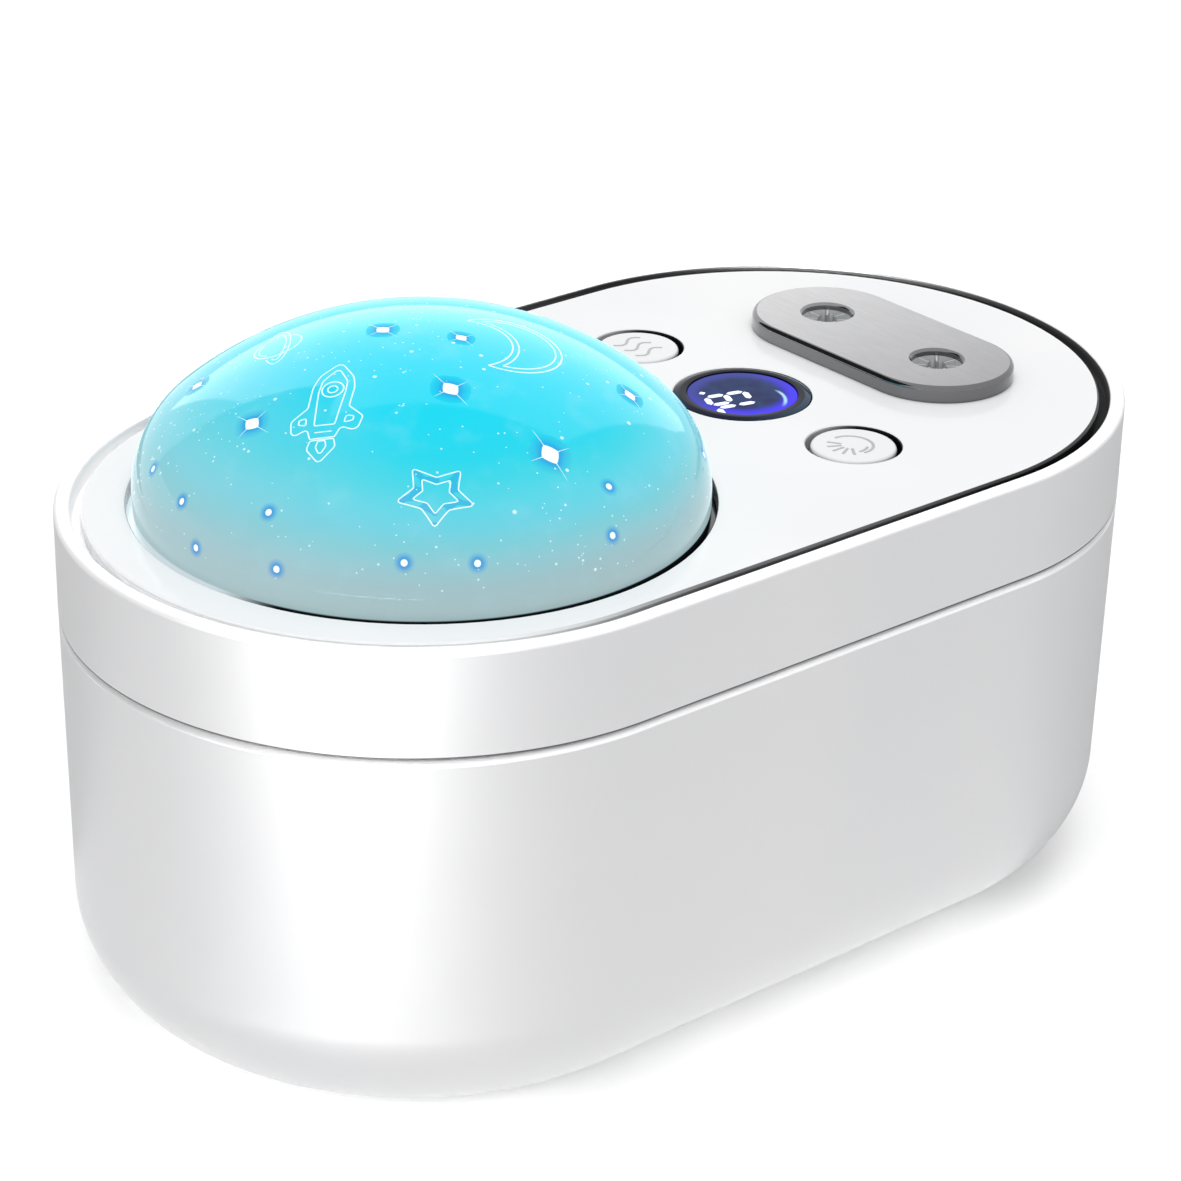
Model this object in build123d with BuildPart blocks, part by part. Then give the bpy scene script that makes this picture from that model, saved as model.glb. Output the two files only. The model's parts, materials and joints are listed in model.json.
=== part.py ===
from build123d import *
import os
from math import acos, cos, degrees, radians, sin

# Star night light with a projector dome and a double mist outlet.
# The lower half is a water tank. The upper half is a lid unit that lifts straight off it and
# carries the lamp, the dome, the controls, the two atomisers and the wick tubes that hang
# down into the water.
# Millimetres. Z is up from the surface it stands on, X runs along the body with the dome
# at -X and the mist outlet at +X, and the front is -Y.

os.makedirs("parts", exist_ok=True)

# ---------------------------------------------------------------- driving dimensions

# Outer form: a stadium seen from above
body_width = 100.0
arc_spacing = 71.8
seam_height = 60.4
seam_gap = 0.3
lid_band_height = 15.5
rim_width = 2.3
rim_edge_radius = 0.8

# Water tank
tank_wall = 3.4
tank_lip = 2.0
tank_floor = 3.0
tank_draft_angle = 0.6
tank_bottom_radius = 17.0
tank_edge_chamfer = 0.8
mouth_depth = 2.5

# Feet
foot_radius = 6.0
foot_proud = 0.8
foot_recess = 0.8
foot_clearance = 0.2
foot_edge = 0.4
foot_end_reach = 6.1
foot_side_margin = 28.0

# Top panel and the sealing strip under its edge
panel_recess = 0.5
panel_thickness = 2.2
groove_width = 1.5
panel_edge = 0.25
strip_thickness = 0.6
strip_inset = 0.2
ledge_thickness = 1.7

# Dome
dome_offset = 1.4
dome_land = 5.7
dome_edge_radius = 14.2
dome_crown_radius = 55.0
dome_spring = 1.7
dome_wall = 2.0
dome_gap = 0.8
dome_flange_width = 2.1
dome_flange_thickness = 1.5
retainer_width = 5.0
retainer_thickness = 2.0
retainer_slot_width = 4.0
retainer_slot_count = 4
thread_fit = 0.1
skirt_wall = 1.2
skirt_clearance = 0.6
film_gap = 0.3
film_thickness = 0.5

# Lid floor: a tray that hangs into the tank's mouth and keeps the electrics dry
flange_thickness = 2.0
flange_clearance = 0.4
tray_depth = 13.7
tray_wall = 1.6
tray_floor = 2.0
tray_clearance = 4.2
tray_edge_radius = 3.0
seal_inset = 0.1
seal_width = 1.1
seal_height = 1.8
lid_boss_radius = 3.6
lid_boss_height = 6.8
lid_boss_bite = 0.4
lid_boss_end_angle = 50.0
lid_boss_spacing = 40.0

# Screws: the larger ones close the lid, the smaller ones hold boards and the motor
lid_screw_head_radius = 1.7
lid_screw_head_height = 1.2
lid_screw_radius = 1.2
lid_screw_length = 7.0
small_head_radius = 1.7
small_head_height = 1.1
small_screw_radius = 0.9
small_screw_length = 4.5
screw_fit = 0.1
cross_length_ratio = 1.4
cross_width = 0.5
cross_depth = 0.5

# Lamp
lamp_pillar_radius = 2.5
lamp_pillar_height = 4.0
lamp_screw_inset = 3.2
lamp_screw_count = 3
lamp_screw_start = 22.5
led_board_margin = 8.0
led_board_bore = 16.2
led_board_thickness = 1.6
led_inset = 9.0
led_count = 8
led_size = 5.0
led_height = 1.4
reflector_wall = 1.2
reflector_clearance = 0.8
reflector_top_inset = 2.3
reflector_top_gap = 0.2

# Ripple disc and its motor
motor_radius = 8.0
motor_height = 10.0
motor_boss_radius = 2.2
motor_boss_height = 1.8
motor_shaft_radius = 0.75
shaft_fit = 0.05
shaft_depth = 6.0
bracket_length = 30.0
bracket_width = 9.0
bracket_thickness = 1.2
bracket_boss_radius = 2.3
bracket_hole_spacing = 24.0
bracket_fit = 0.3
hub_radius = 3.0
hub_gap = 0.8
hub_height = 4.4
ripple_margin = 1.5
ripple_thickness = 2.0
ripple_lift = 1.9
ripple_dimple_radius = 3.2
ripple_dimple_depth = 0.6
ripple_inner_ring_radius = 11.0
ripple_inner_count = 7
ripple_outer_inset = 8.5
ripple_outer_count = 14

# Controls
control_offset = 28.7
board_width = 27.0
board_length = 71.0
board_thickness = 1.6
board_drop = 6.5
board_hole_spacing_x = 22.0
board_hole_spacing_y = 62.0
board_boss_radius = 2.6
chip_size = 7.0
chip_height = 1.2
chip_spacing = 30.0
connector_length = 9.0
connector_width = 4.0
connector_height = 3.6
connector_spacing = 46.0
button_spacing = 48.2
button_radius = 6.3
button_gap = 0.75
button_recess = 0.1
button_edge = 0.3
button_flange_width = 1.05
button_flange_thickness = 1.0
button_float = 0.3
button_travel = 0.8
button_stem_radius = 2.0
switch_size = 6.0
switch_height = 3.5
switch_well_depth = 2.5
plunger_radius = 1.5
plunger_fit = 0.3
plunger_rest_depth = 1.6

# Display
display_hole_radius = 10.4
bezel_fit = 0.1
bezel_width = 1.9
bezel_recess = 0.1
bezel_rise = 0.15
bezel_bevel = 0.9
bezel_flange_width = 1.2
bezel_flange_thickness = 1.0
window_fit = 0.1
window_lip = 1.0
window_thickness = 2.2
display_length = 14.0
display_width = 10.0
display_gap = 0.2

# Mist outlets and atomisers
nozzle_end_margin = 31.5
nozzle_pitch = 24.3
cover_radius = 11.7
cover_height = 2.6
cover_edge_radius = 0.8
cover_lip = 1.1
outlet_radius = 3.9
outlet_chamfer = 0.4
neck_radius = 4.7
neck_fit = 0.15
throat_radius = 2.3
nozzle_flange_radius = 9.5
nozzle_flange_thickness = 1.6
fin_count = 8
fin_width = 0.55
fin_inner_radius = 1.5
atomiser_radius = 8.0
atomiser_thickness = 0.6
atomiser_fit = 0.2
holder_ring_radius = 10.0
holder_ring_bore = 6.4
holder_ring_height = 4.0
cup_clearance = 0.3
cup_wall = 1.2
cup_depth = 2.6
cup_floor = 1.5

# Wick tubes: each hangs in a chimney of the lid floor and locks with a short twist
chimney_bore = 7.2
chimney_wall = 1.4
wick_tube_clearance = 0.35
wick_tube_wall = 1.4
wick_tube_top_gap = 2.4
wick_tube_flange_radius = 9.2
wick_tube_flange_thickness = 1.6
wick_tube_flange_gap = 0.2
lug_reach = 1.0
lug_width = 5.0
lug_height = 1.6
lug_gap = 0.2
lug_clearance = 0.4
twist_angle = 60.0
wick_radius = 4.0
wick_gap = 0.2
wick_floor_gap = 4.0
cap_floor = 1.6
cap_fit = 0.1
cap_wall = 1.3
cap_height = 9.5
inlet_height = 2.2
inlet_width = 3.0
inlet_count = 4
spring_radius = 3.4
spring_wire_radius = 0.35
spring_height = 8.0
spring_turns = 5

# Supply socket at the back
usb_x = 0.0
usb_mouth_depth = 1.0
usb_rise = 3.8
usb_width = 9.0
usb_height = 3.2
usb_length = 7.4
usb_shell_wall = 0.35
usb_tongue_width = 6.6
usb_tongue_height = 0.7
usb_slot_clearance = 0.4
usb_board_width = 14.0
usb_board_length = 10.5
usb_board_thickness = 1.2
usb_board_wall_gap = 0.7
usb_post_spacing = 9.6
usb_post_inset = 2.4
usb_post_radius = 1.7
usb_screw_length = 1.9

# ---------------------------------------------------------------- derived places

body_radius = body_width / 2
body_end_x = arc_spacing / 2 + body_radius
lid_base = seam_height + seam_gap
rim_height = lid_base + lid_band_height
lid_bore_radius = body_radius - rim_width

panel_top = rim_height - panel_recess
panel_base = panel_top - panel_thickness
panel_radius = lid_bore_radius - groove_width
ledge_top = panel_base - strip_thickness
ledge_base = ledge_top - ledge_thickness

foot_spacing_x = arc_spacing + 2 * foot_end_reach
foot_spacing_y = body_width - 2 * foot_side_margin

dome_x = dome_offset - arc_spacing / 2
dome_radius = panel_radius - dome_land
dome_hole_radius = dome_radius + dome_gap
dome_flange_radius = dome_radius + dome_flange_width
dome_flange_base = panel_base - dome_flange_thickness
dome_edge_angle = degrees(acos((dome_radius - dome_edge_radius) / (dome_crown_radius - dome_edge_radius)))
dome_spring_height = panel_top + dome_spring
skirt_bore = dome_flange_radius + thread_fit
skirt_radius = skirt_bore + skirt_wall
retainer_radius = skirt_bore - thread_fit
retainer_bore = retainer_radius - retainer_width
retainer_base = dome_flange_base - retainer_thickness
ledge_bore_radius = skirt_radius + skirt_clearance

tank_bore_radius = body_radius - tank_wall
mouth_radius = body_radius - tank_lip
shoulder_height = seam_height - mouth_depth
tank_floor_top = foot_proud + tank_floor

flange_base = shoulder_height + seal_height
flange_top = flange_base + flange_thickness
flange_radius = min(lid_bore_radius - screw_fit, mouth_radius - flange_clearance)
tray_radius = tank_bore_radius - tray_clearance
tray_bore_radius = tray_radius - tray_wall
tray_base = flange_base - tray_depth
tray_floor_top = tray_base + tray_floor

lid_boss_ring_radius = lid_bore_radius - lid_boss_radius + lid_boss_bite
lid_boss_end_x = arc_spacing / 2 + lid_boss_ring_radius * cos(radians(lid_boss_end_angle))
lid_boss_end_y = lid_boss_ring_radius * sin(radians(lid_boss_end_angle))
lid_boss_points = [
    (side_x * x, side_y * y)
    for x, y in ((lid_boss_end_x, lid_boss_end_y), (lid_boss_spacing / 2, lid_boss_ring_radius))
    for side_x in (-1, 1)
    for side_y in (-1, 1)
]

led_board_radius = dome_radius - led_board_margin
led_ring_radius = led_board_radius - led_inset
lamp_screw_ring_radius = led_board_radius - lamp_screw_inset
lamp_screw_angles = [radians(lamp_screw_start + 360 * n / lamp_screw_count) for n in range(lamp_screw_count)]
lamp_screw_points = [
    (dome_x + lamp_screw_ring_radius * cos(angle), lamp_screw_ring_radius * sin(angle))
    for angle in lamp_screw_angles
]
led_board_base = tray_floor_top + lamp_pillar_height
led_board_top = led_board_base + led_board_thickness
reflector_foot_radius = led_board_radius + reflector_clearance + reflector_wall
reflector_top_radius = dome_radius - reflector_top_inset
reflector_top = retainer_base - reflector_top_gap

motor_top = tray_floor_top + motor_height
bracket_top = motor_top + bracket_thickness
shaft_base = motor_top - shaft_depth
motor_boss_top = motor_top + motor_boss_height
hub_base = motor_boss_top + hub_gap
ripple_radius = led_board_radius - ripple_margin
ripple_outer_ring_radius = ripple_radius - ripple_outer_inset
ripple_base = hub_base + ripple_lift
hub_top = hub_base + hub_height

nozzle_x = body_end_x - nozzle_end_margin
control_x = nozzle_x - control_offset

board_top = panel_base - board_drop
board_base = board_top - board_thickness
board_hole_points = [
    (control_x + side_x * board_hole_spacing_x / 2, side_y * board_hole_spacing_y / 2)
    for side_x in (-1, 1)
    for side_y in (-1, 1)
]
button_hole_radius = button_radius + button_gap
button_top = panel_top - button_recess
button_flange_top = panel_base - button_float
button_flange_base = button_flange_top - button_flange_thickness
button_flange_radius = button_hole_radius + button_flange_width
switch_top = board_top + switch_height
plunger_base = switch_top - plunger_rest_depth
plunger_top = button_flange_base - button_travel

bezel_radius = display_hole_radius - bezel_fit
bezel_bore = bezel_radius - bezel_width
bezel_edge_top = panel_top - bezel_recess
bezel_top = panel_top + bezel_rise
bezel_base = panel_base - bezel_flange_thickness
bezel_flange_radius = display_hole_radius + bezel_flange_width
window_radius = bezel_bore - window_fit
display_top = bezel_base - display_gap

cover_top = panel_top + cover_height
neck_top = cover_top - cover_lip
nozzle_flange_base = panel_base - nozzle_flange_thickness
holder_ring_base = nozzle_flange_base - holder_ring_height
atomiser_base = holder_ring_base + (holder_ring_height - atomiser_thickness) / 2
cup_radius = holder_ring_radius + cup_clearance + cup_wall
cup_base = holder_ring_base - cup_floor

chimney_radius = chimney_bore + chimney_wall
wick_tube_radius = chimney_bore - wick_tube_clearance
wick_tube_bore = wick_tube_radius - wick_tube_wall
wick_tube_top = cup_base - wick_tube_top_gap
lug_radius = chimney_bore + lug_reach
lug_chamber_radius = lug_radius + lug_clearance
lug_base = tray_floor_top + lug_gap
lug_chamber_top = lug_base + lug_height + lug_clearance
cap_base = tank_floor_top + wick_floor_gap
cap_floor_top = cap_base + cap_floor
wick_tube_base = cap_floor_top + inlet_height
cap_bore = wick_tube_radius + cap_fit
cap_radius = cap_bore + cap_wall
wick_base = cap_floor_top + spring_height
wick_top = atomiser_base - wick_gap

usb_centre_height = flange_top + usb_rise
usb_mouth_y = body_radius - usb_mouth_depth
usb_board_top = usb_centre_height - usb_height / 2
usb_board_base = usb_board_top - usb_board_thickness
usb_board_edge_y = lid_bore_radius - usb_board_wall_gap
usb_post_y = usb_board_edge_y - usb_post_inset
usb_post_points = [(usb_x - usb_post_spacing / 2, usb_post_y), (usb_x + usb_post_spacing / 2, usb_post_y)]

outlet_sides = {"front": -nozzle_pitch / 2, "rear": nozzle_pitch / 2}
button_sides = {"light": -button_spacing / 2, "mist": button_spacing / 2}


def upright_plane(x, y):
    """Upright plane through a vertical axis, for a profile that is turned about it."""
    return Plane(origin=(x, y, 0), x_dir=(1, 0, 0), z_dir=(0, -1, 0))


def vertical_axis(x, y):
    """Vertical axis through a point of the plan."""
    return Axis((x, y, 0), (0, 0, 1))


def dome_curve(inset):
    """Line of the dome from its foot to its crown, moved inwards by inset."""
    foot = (dome_radius - inset, dome_spring_height)
    edge = JernArc(start=foot, tangent=(0, 1), radius=dome_edge_radius - inset, arc_size=dome_edge_angle)
    crown_angle = 90 - dome_edge_angle
    crown = JernArc(start=edge @ 1, tangent=edge % 1, radius=dome_crown_radius - inset, arc_size=crown_angle)
    return edge, crown


def screw_set(name, points, seat, up, head_radius, head_height, shank_radius, shank_length):
    """Pan-head screws whose heads rest on the height seat and whose shanks run up (1) or down (-1)."""
    with BuildPart() as screws:
        with BuildSketch(Plane.XY.offset(seat)):
            with Locations(*points):
                Circle(head_radius)
        extrude(amount=-up * head_height)
        with BuildSketch(Plane.XY.offset(seat)):
            with Locations(*points):
                Circle(shank_radius)
        extrude(amount=up * shank_length)
        with BuildSketch(Plane.XY.offset(seat - up * head_height)):
            with Locations(*points):
                Rectangle(cross_length_ratio * head_radius, cross_width)
                Rectangle(cross_width, cross_length_ratio * head_radius)
        extrude(amount=up * cross_depth, mode=Mode.SUBTRACT)
    screws.part.label = name
    export_step(screws.part, f"parts/{name}.step")


# ---------------------------------------------------------------- base

with BuildPart() as tank_cavity:
    with BuildSketch(Plane.XY.offset(shoulder_height)):
        SlotCenterToCenter(arc_spacing, 2 * tank_bore_radius)
    extrude(amount=-(shoulder_height - tank_floor_top), taper=tank_draft_angle)
    fillet(tank_cavity.edges().group_by(Axis.Z)[0], tank_bottom_radius - tank_wall)

with BuildPart() as tank:
    with BuildSketch(Plane.XY.offset(seam_height)):
        SlotCenterToCenter(arc_spacing, body_width)
    extrude(amount=-(seam_height - foot_proud), taper=tank_draft_angle)
    fillet(tank.edges().group_by(Axis.Z)[0], tank_bottom_radius)
    chamfer(tank.edges().group_by(Axis.Z)[-1], tank_edge_chamfer)
    add(tank_cavity.part, mode=Mode.SUBTRACT)
    with BuildSketch(Plane.XY.offset(shoulder_height)):
        SlotCenterToCenter(arc_spacing, 2 * mouth_radius)
    extrude(amount=mouth_depth, mode=Mode.SUBTRACT)
    with BuildSketch(Plane.XY.offset(foot_proud)):
        with GridLocations(foot_spacing_x, foot_spacing_y, 2, 2):
            Circle(foot_radius + foot_clearance)
    extrude(amount=foot_recess, mode=Mode.SUBTRACT)
tank.part.label = "tank"
export_step(tank.part, "parts/tank.step")

with BuildPart() as feet:
    with BuildSketch(Plane.XY):
        with GridLocations(foot_spacing_x, foot_spacing_y, 2, 2):
            Circle(foot_radius)
    extrude(amount=foot_proud + foot_recess)
    chamfer(feet.edges().group_by(Axis.Z)[0], foot_edge)
feet.part.label = "feet"
export_step(feet.part, "parts/feet.step")

# ---------------------------------------------------------------- lid casing

with BuildPart() as lid_shell:
    with BuildSketch(Plane.XY.offset(lid_base)):
        SlotCenterToCenter(arc_spacing, body_width)
    extrude(amount=lid_band_height)
    fillet(lid_shell.edges().group_by(Axis.Z)[-1], rim_edge_radius)
    with BuildSketch(Plane.XY.offset(lid_base)):
        SlotCenterToCenter(arc_spacing, 2 * lid_bore_radius)
    extrude(amount=lid_band_height, mode=Mode.SUBTRACT)
    with BuildSketch(Plane.XY.offset(ledge_base)):
        SlotCenterToCenter(arc_spacing, body_width - rim_width)
        SlotCenterToCenter(arc_spacing, 2 * ledge_bore_radius, mode=Mode.SUBTRACT)
    extrude(amount=ledge_thickness)
    with BuildSketch(Plane.XY.offset(flange_top)):
        with Locations(*lid_boss_points):
            Circle(lid_boss_radius)
    extrude(amount=lid_boss_height)
    with BuildSketch(Plane.XY.offset(flange_top)):
        with Locations(*lid_boss_points):
            Circle(lid_screw_radius + screw_fit)
    extrude(amount=lid_screw_length - flange_thickness + screw_fit, mode=Mode.SUBTRACT)
    with BuildSketch(Plane.XZ.offset(-lid_bore_radius)):
        with Locations((usb_x, usb_centre_height)):
            SlotOverall(usb_width + 2 * usb_slot_clearance, usb_height + 2 * usb_slot_clearance)
    extrude(amount=-body_width, mode=Mode.SUBTRACT)
lid_shell.part.label = "lid_shell"
export_step(lid_shell.part, "parts/lid_shell.step")

with BuildPart() as lid_floor:
    with BuildSketch(Plane.XY.offset(tray_base)):
        SlotCenterToCenter(arc_spacing, 2 * tray_radius)
    extrude(amount=flange_base - tray_base)
    fillet(lid_floor.edges().group_by(Axis.Z)[0], tray_edge_radius)
    with BuildSketch(Plane.XY.offset(flange_base)):
        SlotCenterToCenter(arc_spacing, 2 * flange_radius)
    extrude(amount=flange_thickness)
    with BuildSketch(Plane.XY.offset(tray_floor_top)):
        SlotCenterToCenter(arc_spacing, 2 * tray_bore_radius)
    extrude(amount=flange_top - tray_floor_top, mode=Mode.SUBTRACT)
    with BuildSketch(Plane.XY.offset(tray_floor_top)):
        with Locations(*lamp_screw_points):
            Circle(lamp_pillar_radius)
    extrude(amount=lamp_pillar_height)
    with BuildSketch(Plane.XY.offset(tray_floor_top)):
        with Locations((dome_x, 0)):
            with GridLocations(bracket_hole_spacing, 0, 2, 1):
                Circle(bracket_boss_radius)
    extrude(amount=motor_height)
    with BuildSketch(Plane.XY.offset(tray_floor_top)):
        with Locations((nozzle_x, 0)):
            with GridLocations(0, nozzle_pitch, 1, 2):
                Circle(chimney_radius)
    extrude(amount=cup_base - tray_floor_top)
    with BuildSketch(Plane.XY.offset(tray_floor_top)):
        with Locations((nozzle_x, 0)):
            with GridLocations(0, nozzle_pitch, 1, 2):
                Circle(lug_chamber_radius + chimney_wall)
    extrude(amount=lug_chamber_top - tray_floor_top + chimney_wall)
    with BuildSketch(Plane.XY.offset(cup_base)):
        with Locations((nozzle_x, 0)):
            with GridLocations(0, nozzle_pitch, 1, 2):
                Circle(cup_radius)
    extrude(amount=cup_floor + cup_depth)
    with BuildSketch(Plane.XY.offset(holder_ring_base)):
        with Locations((nozzle_x, 0)):
            with GridLocations(0, nozzle_pitch, 1, 2):
                Circle(holder_ring_radius + cup_clearance)
    extrude(amount=cup_depth, mode=Mode.SUBTRACT)
    with BuildSketch(Plane.XY.offset(tray_base)):
        with Locations((nozzle_x, 0)):
            with GridLocations(0, nozzle_pitch, 1, 2):
                Circle(chimney_bore)
    extrude(amount=holder_ring_base - tray_base, mode=Mode.SUBTRACT)
    with BuildSketch(Plane.XY.offset(tray_floor_top)):
        with Locations((nozzle_x, 0)):
            with GridLocations(0, nozzle_pitch, 1, 2):
                Circle(lug_chamber_radius)
    extrude(amount=lug_chamber_top - tray_floor_top, mode=Mode.SUBTRACT)
    for outlet_y in outlet_sides.values():
        with BuildSketch(Plane.XY.offset(tray_base)):
            with Locations(Location((nozzle_x, outlet_y), twist_angle)):
                Circle(lug_chamber_radius)
                Rectangle(2 * lug_chamber_radius, lug_width + 2 * lug_clearance, mode=Mode.INTERSECT)
        extrude(amount=tray_floor, mode=Mode.SUBTRACT)
    with BuildSketch(Plane.XY.offset(flange_top)):
        with Locations(*usb_post_points):
            Circle(usb_post_radius)
    extrude(amount=usb_board_base - flange_top)
    with BuildSketch(Plane.XY.offset(flange_base)):
        with Locations(*lid_boss_points):
            Circle(lid_screw_radius + screw_fit)
    extrude(amount=flange_thickness, mode=Mode.SUBTRACT)
    with BuildSketch(Plane.XY.offset(led_board_base)):
        with Locations(*lamp_screw_points):
            Circle(small_screw_radius + screw_fit)
    extrude(amount=-(small_screw_length - led_board_thickness + screw_fit), mode=Mode.SUBTRACT)
    with BuildSketch(Plane.XY.offset(motor_top)):
        with Locations((dome_x, 0)):
            with GridLocations(bracket_hole_spacing, 0, 2, 1):
                Circle(small_screw_radius + screw_fit)
    extrude(amount=-small_screw_length, mode=Mode.SUBTRACT)
    with BuildSketch(Plane.XY.offset(usb_board_base)):
        with Locations(*usb_post_points):
            Circle(small_screw_radius + screw_fit)
    extrude(amount=-usb_screw_length, mode=Mode.SUBTRACT)
lid_floor.part.label = "lid_floor"
export_step(lid_floor.part, "parts/lid_floor.step")

with BuildPart() as lid_seal:
    with BuildSketch(Plane.XY.offset(shoulder_height)):
        SlotCenterToCenter(arc_spacing, 2 * (tank_bore_radius + seal_inset + seal_width))
        SlotCenterToCenter(arc_spacing, 2 * (tank_bore_radius + seal_inset), mode=Mode.SUBTRACT)
    extrude(amount=seal_height)
lid_seal.part.label = "lid_seal"
export_step(lid_seal.part, "parts/lid_seal.step")

screw_set(
    "lid_screws",
    lid_boss_points,
    flange_base,
    1,
    lid_screw_head_radius,
    lid_screw_head_height,
    lid_screw_radius,
    lid_screw_length,
)

with BuildPart() as panel_strip:
    with BuildSketch(Plane.XY.offset(ledge_top)):
        SlotCenterToCenter(arc_spacing, 2 * (lid_bore_radius - strip_inset))
        SlotCenterToCenter(arc_spacing, 2 * (ledge_bore_radius + strip_inset), mode=Mode.SUBTRACT)
    extrude(amount=strip_thickness)
panel_strip.part.label = "panel_strip"
export_step(panel_strip.part, "parts/panel_strip.step")

with BuildPart() as top_panel:
    with BuildSketch(Plane.XY.offset(panel_base)):
        SlotCenterToCenter(arc_spacing, 2 * panel_radius)
        with Locations((dome_x, 0)):
            Circle(dome_hole_radius, mode=Mode.SUBTRACT)
        with Locations((control_x, 0)):
            Circle(display_hole_radius, mode=Mode.SUBTRACT)
            with GridLocations(0, button_spacing, 1, 2):
                Circle(button_hole_radius, mode=Mode.SUBTRACT)
        with Locations((nozzle_x, 0)):
            with GridLocations(0, nozzle_pitch, 1, 2):
                Circle(neck_radius + neck_fit, mode=Mode.SUBTRACT)
    extrude(amount=panel_thickness)
    chamfer(top_panel.faces().sort_by(Axis.Z)[-1].edges(), panel_edge)
    with BuildSketch(Plane.XY.offset(panel_base)):
        with Locations((dome_x, 0)):
            Circle(skirt_radius)
            Circle(skirt_bore, mode=Mode.SUBTRACT)
    extrude(amount=-(dome_flange_thickness + retainer_thickness))
    with BuildSketch(Plane.XY.offset(board_top)):
        with Locations(*board_hole_points):
            Circle(board_boss_radius)
    extrude(amount=board_drop)
    with BuildSketch(Plane.XY.offset(board_top)):
        with Locations(*board_hole_points):
            Circle(small_screw_radius + screw_fit)
    extrude(amount=small_screw_length - board_thickness + screw_fit, mode=Mode.SUBTRACT)
top_panel.part.label = "top_panel"
export_step(top_panel.part, "parts/top_panel.step")

# ---------------------------------------------------------------- dome

with BuildPart() as dome_lens:
    with BuildSketch(upright_plane(dome_x, 0)):
        with BuildLine():
            outer_edge, outer_crown = dome_curve(0)
            inner_edge, inner_crown = dome_curve(dome_wall)
            Line(outer_crown @ 1, inner_crown @ 1)
            Polyline(
                inner_edge @ 0,
                (dome_radius - dome_wall, dome_flange_base),
                (dome_flange_radius, dome_flange_base),
                (dome_flange_radius, panel_base),
                (dome_radius, panel_base),
                outer_edge @ 0,
            )
        make_face()
    revolve(axis=vertical_axis(dome_x, 0))
dome_lens.part.label = "dome_lens"
export_step(dome_lens.part, "parts/dome_lens.step")

with BuildPart() as star_film:
    with BuildSketch(upright_plane(dome_x, 0)):
        with BuildLine():
            outer_edge, outer_crown = dome_curve(dome_wall + film_gap)
            inner_edge, inner_crown = dome_curve(dome_wall + film_gap + film_thickness)
            Line(outer_crown @ 1, inner_crown @ 1)
            Polyline(
                inner_edge @ 0,
                (dome_radius - dome_wall - film_gap - film_thickness, dome_flange_base),
                (dome_radius - dome_wall - film_gap, dome_flange_base),
                outer_edge @ 0,
            )
        make_face()
    revolve(axis=vertical_axis(dome_x, 0))
star_film.part.label = "star_film"
export_step(star_film.part, "parts/star_film.step")

with BuildPart() as dome_retainer:
    with BuildSketch(Plane.XY.offset(retainer_base)):
        with Locations((dome_x, 0)):
            Circle(retainer_radius)
            Circle(retainer_bore, mode=Mode.SUBTRACT)
    extrude(amount=retainer_thickness)
    with BuildSketch(Plane.XY.offset(retainer_base)):
        with Locations((dome_x, 0)):
            with PolarLocations(retainer_bore, retainer_slot_count):
                Rectangle(retainer_width, retainer_slot_width)
    extrude(amount=retainer_thickness / 2, mode=Mode.SUBTRACT)
dome_retainer.part.label = "dome_retainer"
export_step(dome_retainer.part, "parts/dome_retainer.step")

# ---------------------------------------------------------------- lamp

with BuildPart() as lamp_reflector:
    with BuildSketch(upright_plane(dome_x, 0)):
        with BuildLine():
            Polyline(
                (reflector_foot_radius - reflector_wall, tray_floor_top),
                (reflector_foot_radius, tray_floor_top),
                (reflector_foot_radius, led_board_top),
                (reflector_top_radius, reflector_top),
                (reflector_top_radius - reflector_wall, reflector_top),
                (reflector_foot_radius - reflector_wall, led_board_top),
                close=True,
            )
        make_face()
    revolve(axis=vertical_axis(dome_x, 0))
lamp_reflector.part.label = "lamp_reflector"
export_step(lamp_reflector.part, "parts/lamp_reflector.step")

with BuildPart() as led_board:
    with BuildSketch(Plane.XY.offset(led_board_base)):
        with Locations((dome_x, 0)):
            Circle(led_board_radius)
            Circle(led_board_bore, mode=Mode.SUBTRACT)
        with Locations(*lamp_screw_points):
            Circle(small_screw_radius + screw_fit, mode=Mode.SUBTRACT)
    extrude(amount=led_board_thickness)
led_board.part.label = "led_board"
export_step(led_board.part, "parts/led_board.step")

with BuildPart() as led_chips:
    with BuildSketch(Plane.XY.offset(led_board_top)):
        with Locations((dome_x, 0)):
            with PolarLocations(led_ring_radius, led_count):
                Rectangle(led_size, led_size)
    extrude(amount=led_height)
led_chips.part.label = "led_chips"
export_step(led_chips.part, "parts/led_chips.step")

screw_set(
    "lamp_screws",
    lamp_screw_points,
    led_board_top,
    -1,
    small_head_radius,
    small_head_height,
    small_screw_radius,
    small_screw_length,
)

with BuildPart() as disc_motor:
    with BuildSketch(Plane.XY.offset(tray_floor_top)):
        with Locations((dome_x, 0)):
            Circle(motor_radius)
    extrude(amount=motor_height)
    with BuildSketch(Plane.XY.offset(motor_top)):
        with Locations((dome_x, 0)):
            Circle(motor_boss_radius)
    extrude(amount=motor_boss_height)
    with BuildSketch(Plane.XY.offset(shaft_base)):
        with Locations((dome_x, 0)):
            Circle(motor_shaft_radius + shaft_fit)
    extrude(amount=motor_boss_top - shaft_base, mode=Mode.SUBTRACT)
disc_motor.part.label = "disc_motor"
export_step(disc_motor.part, "parts/disc_motor.step")

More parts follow.
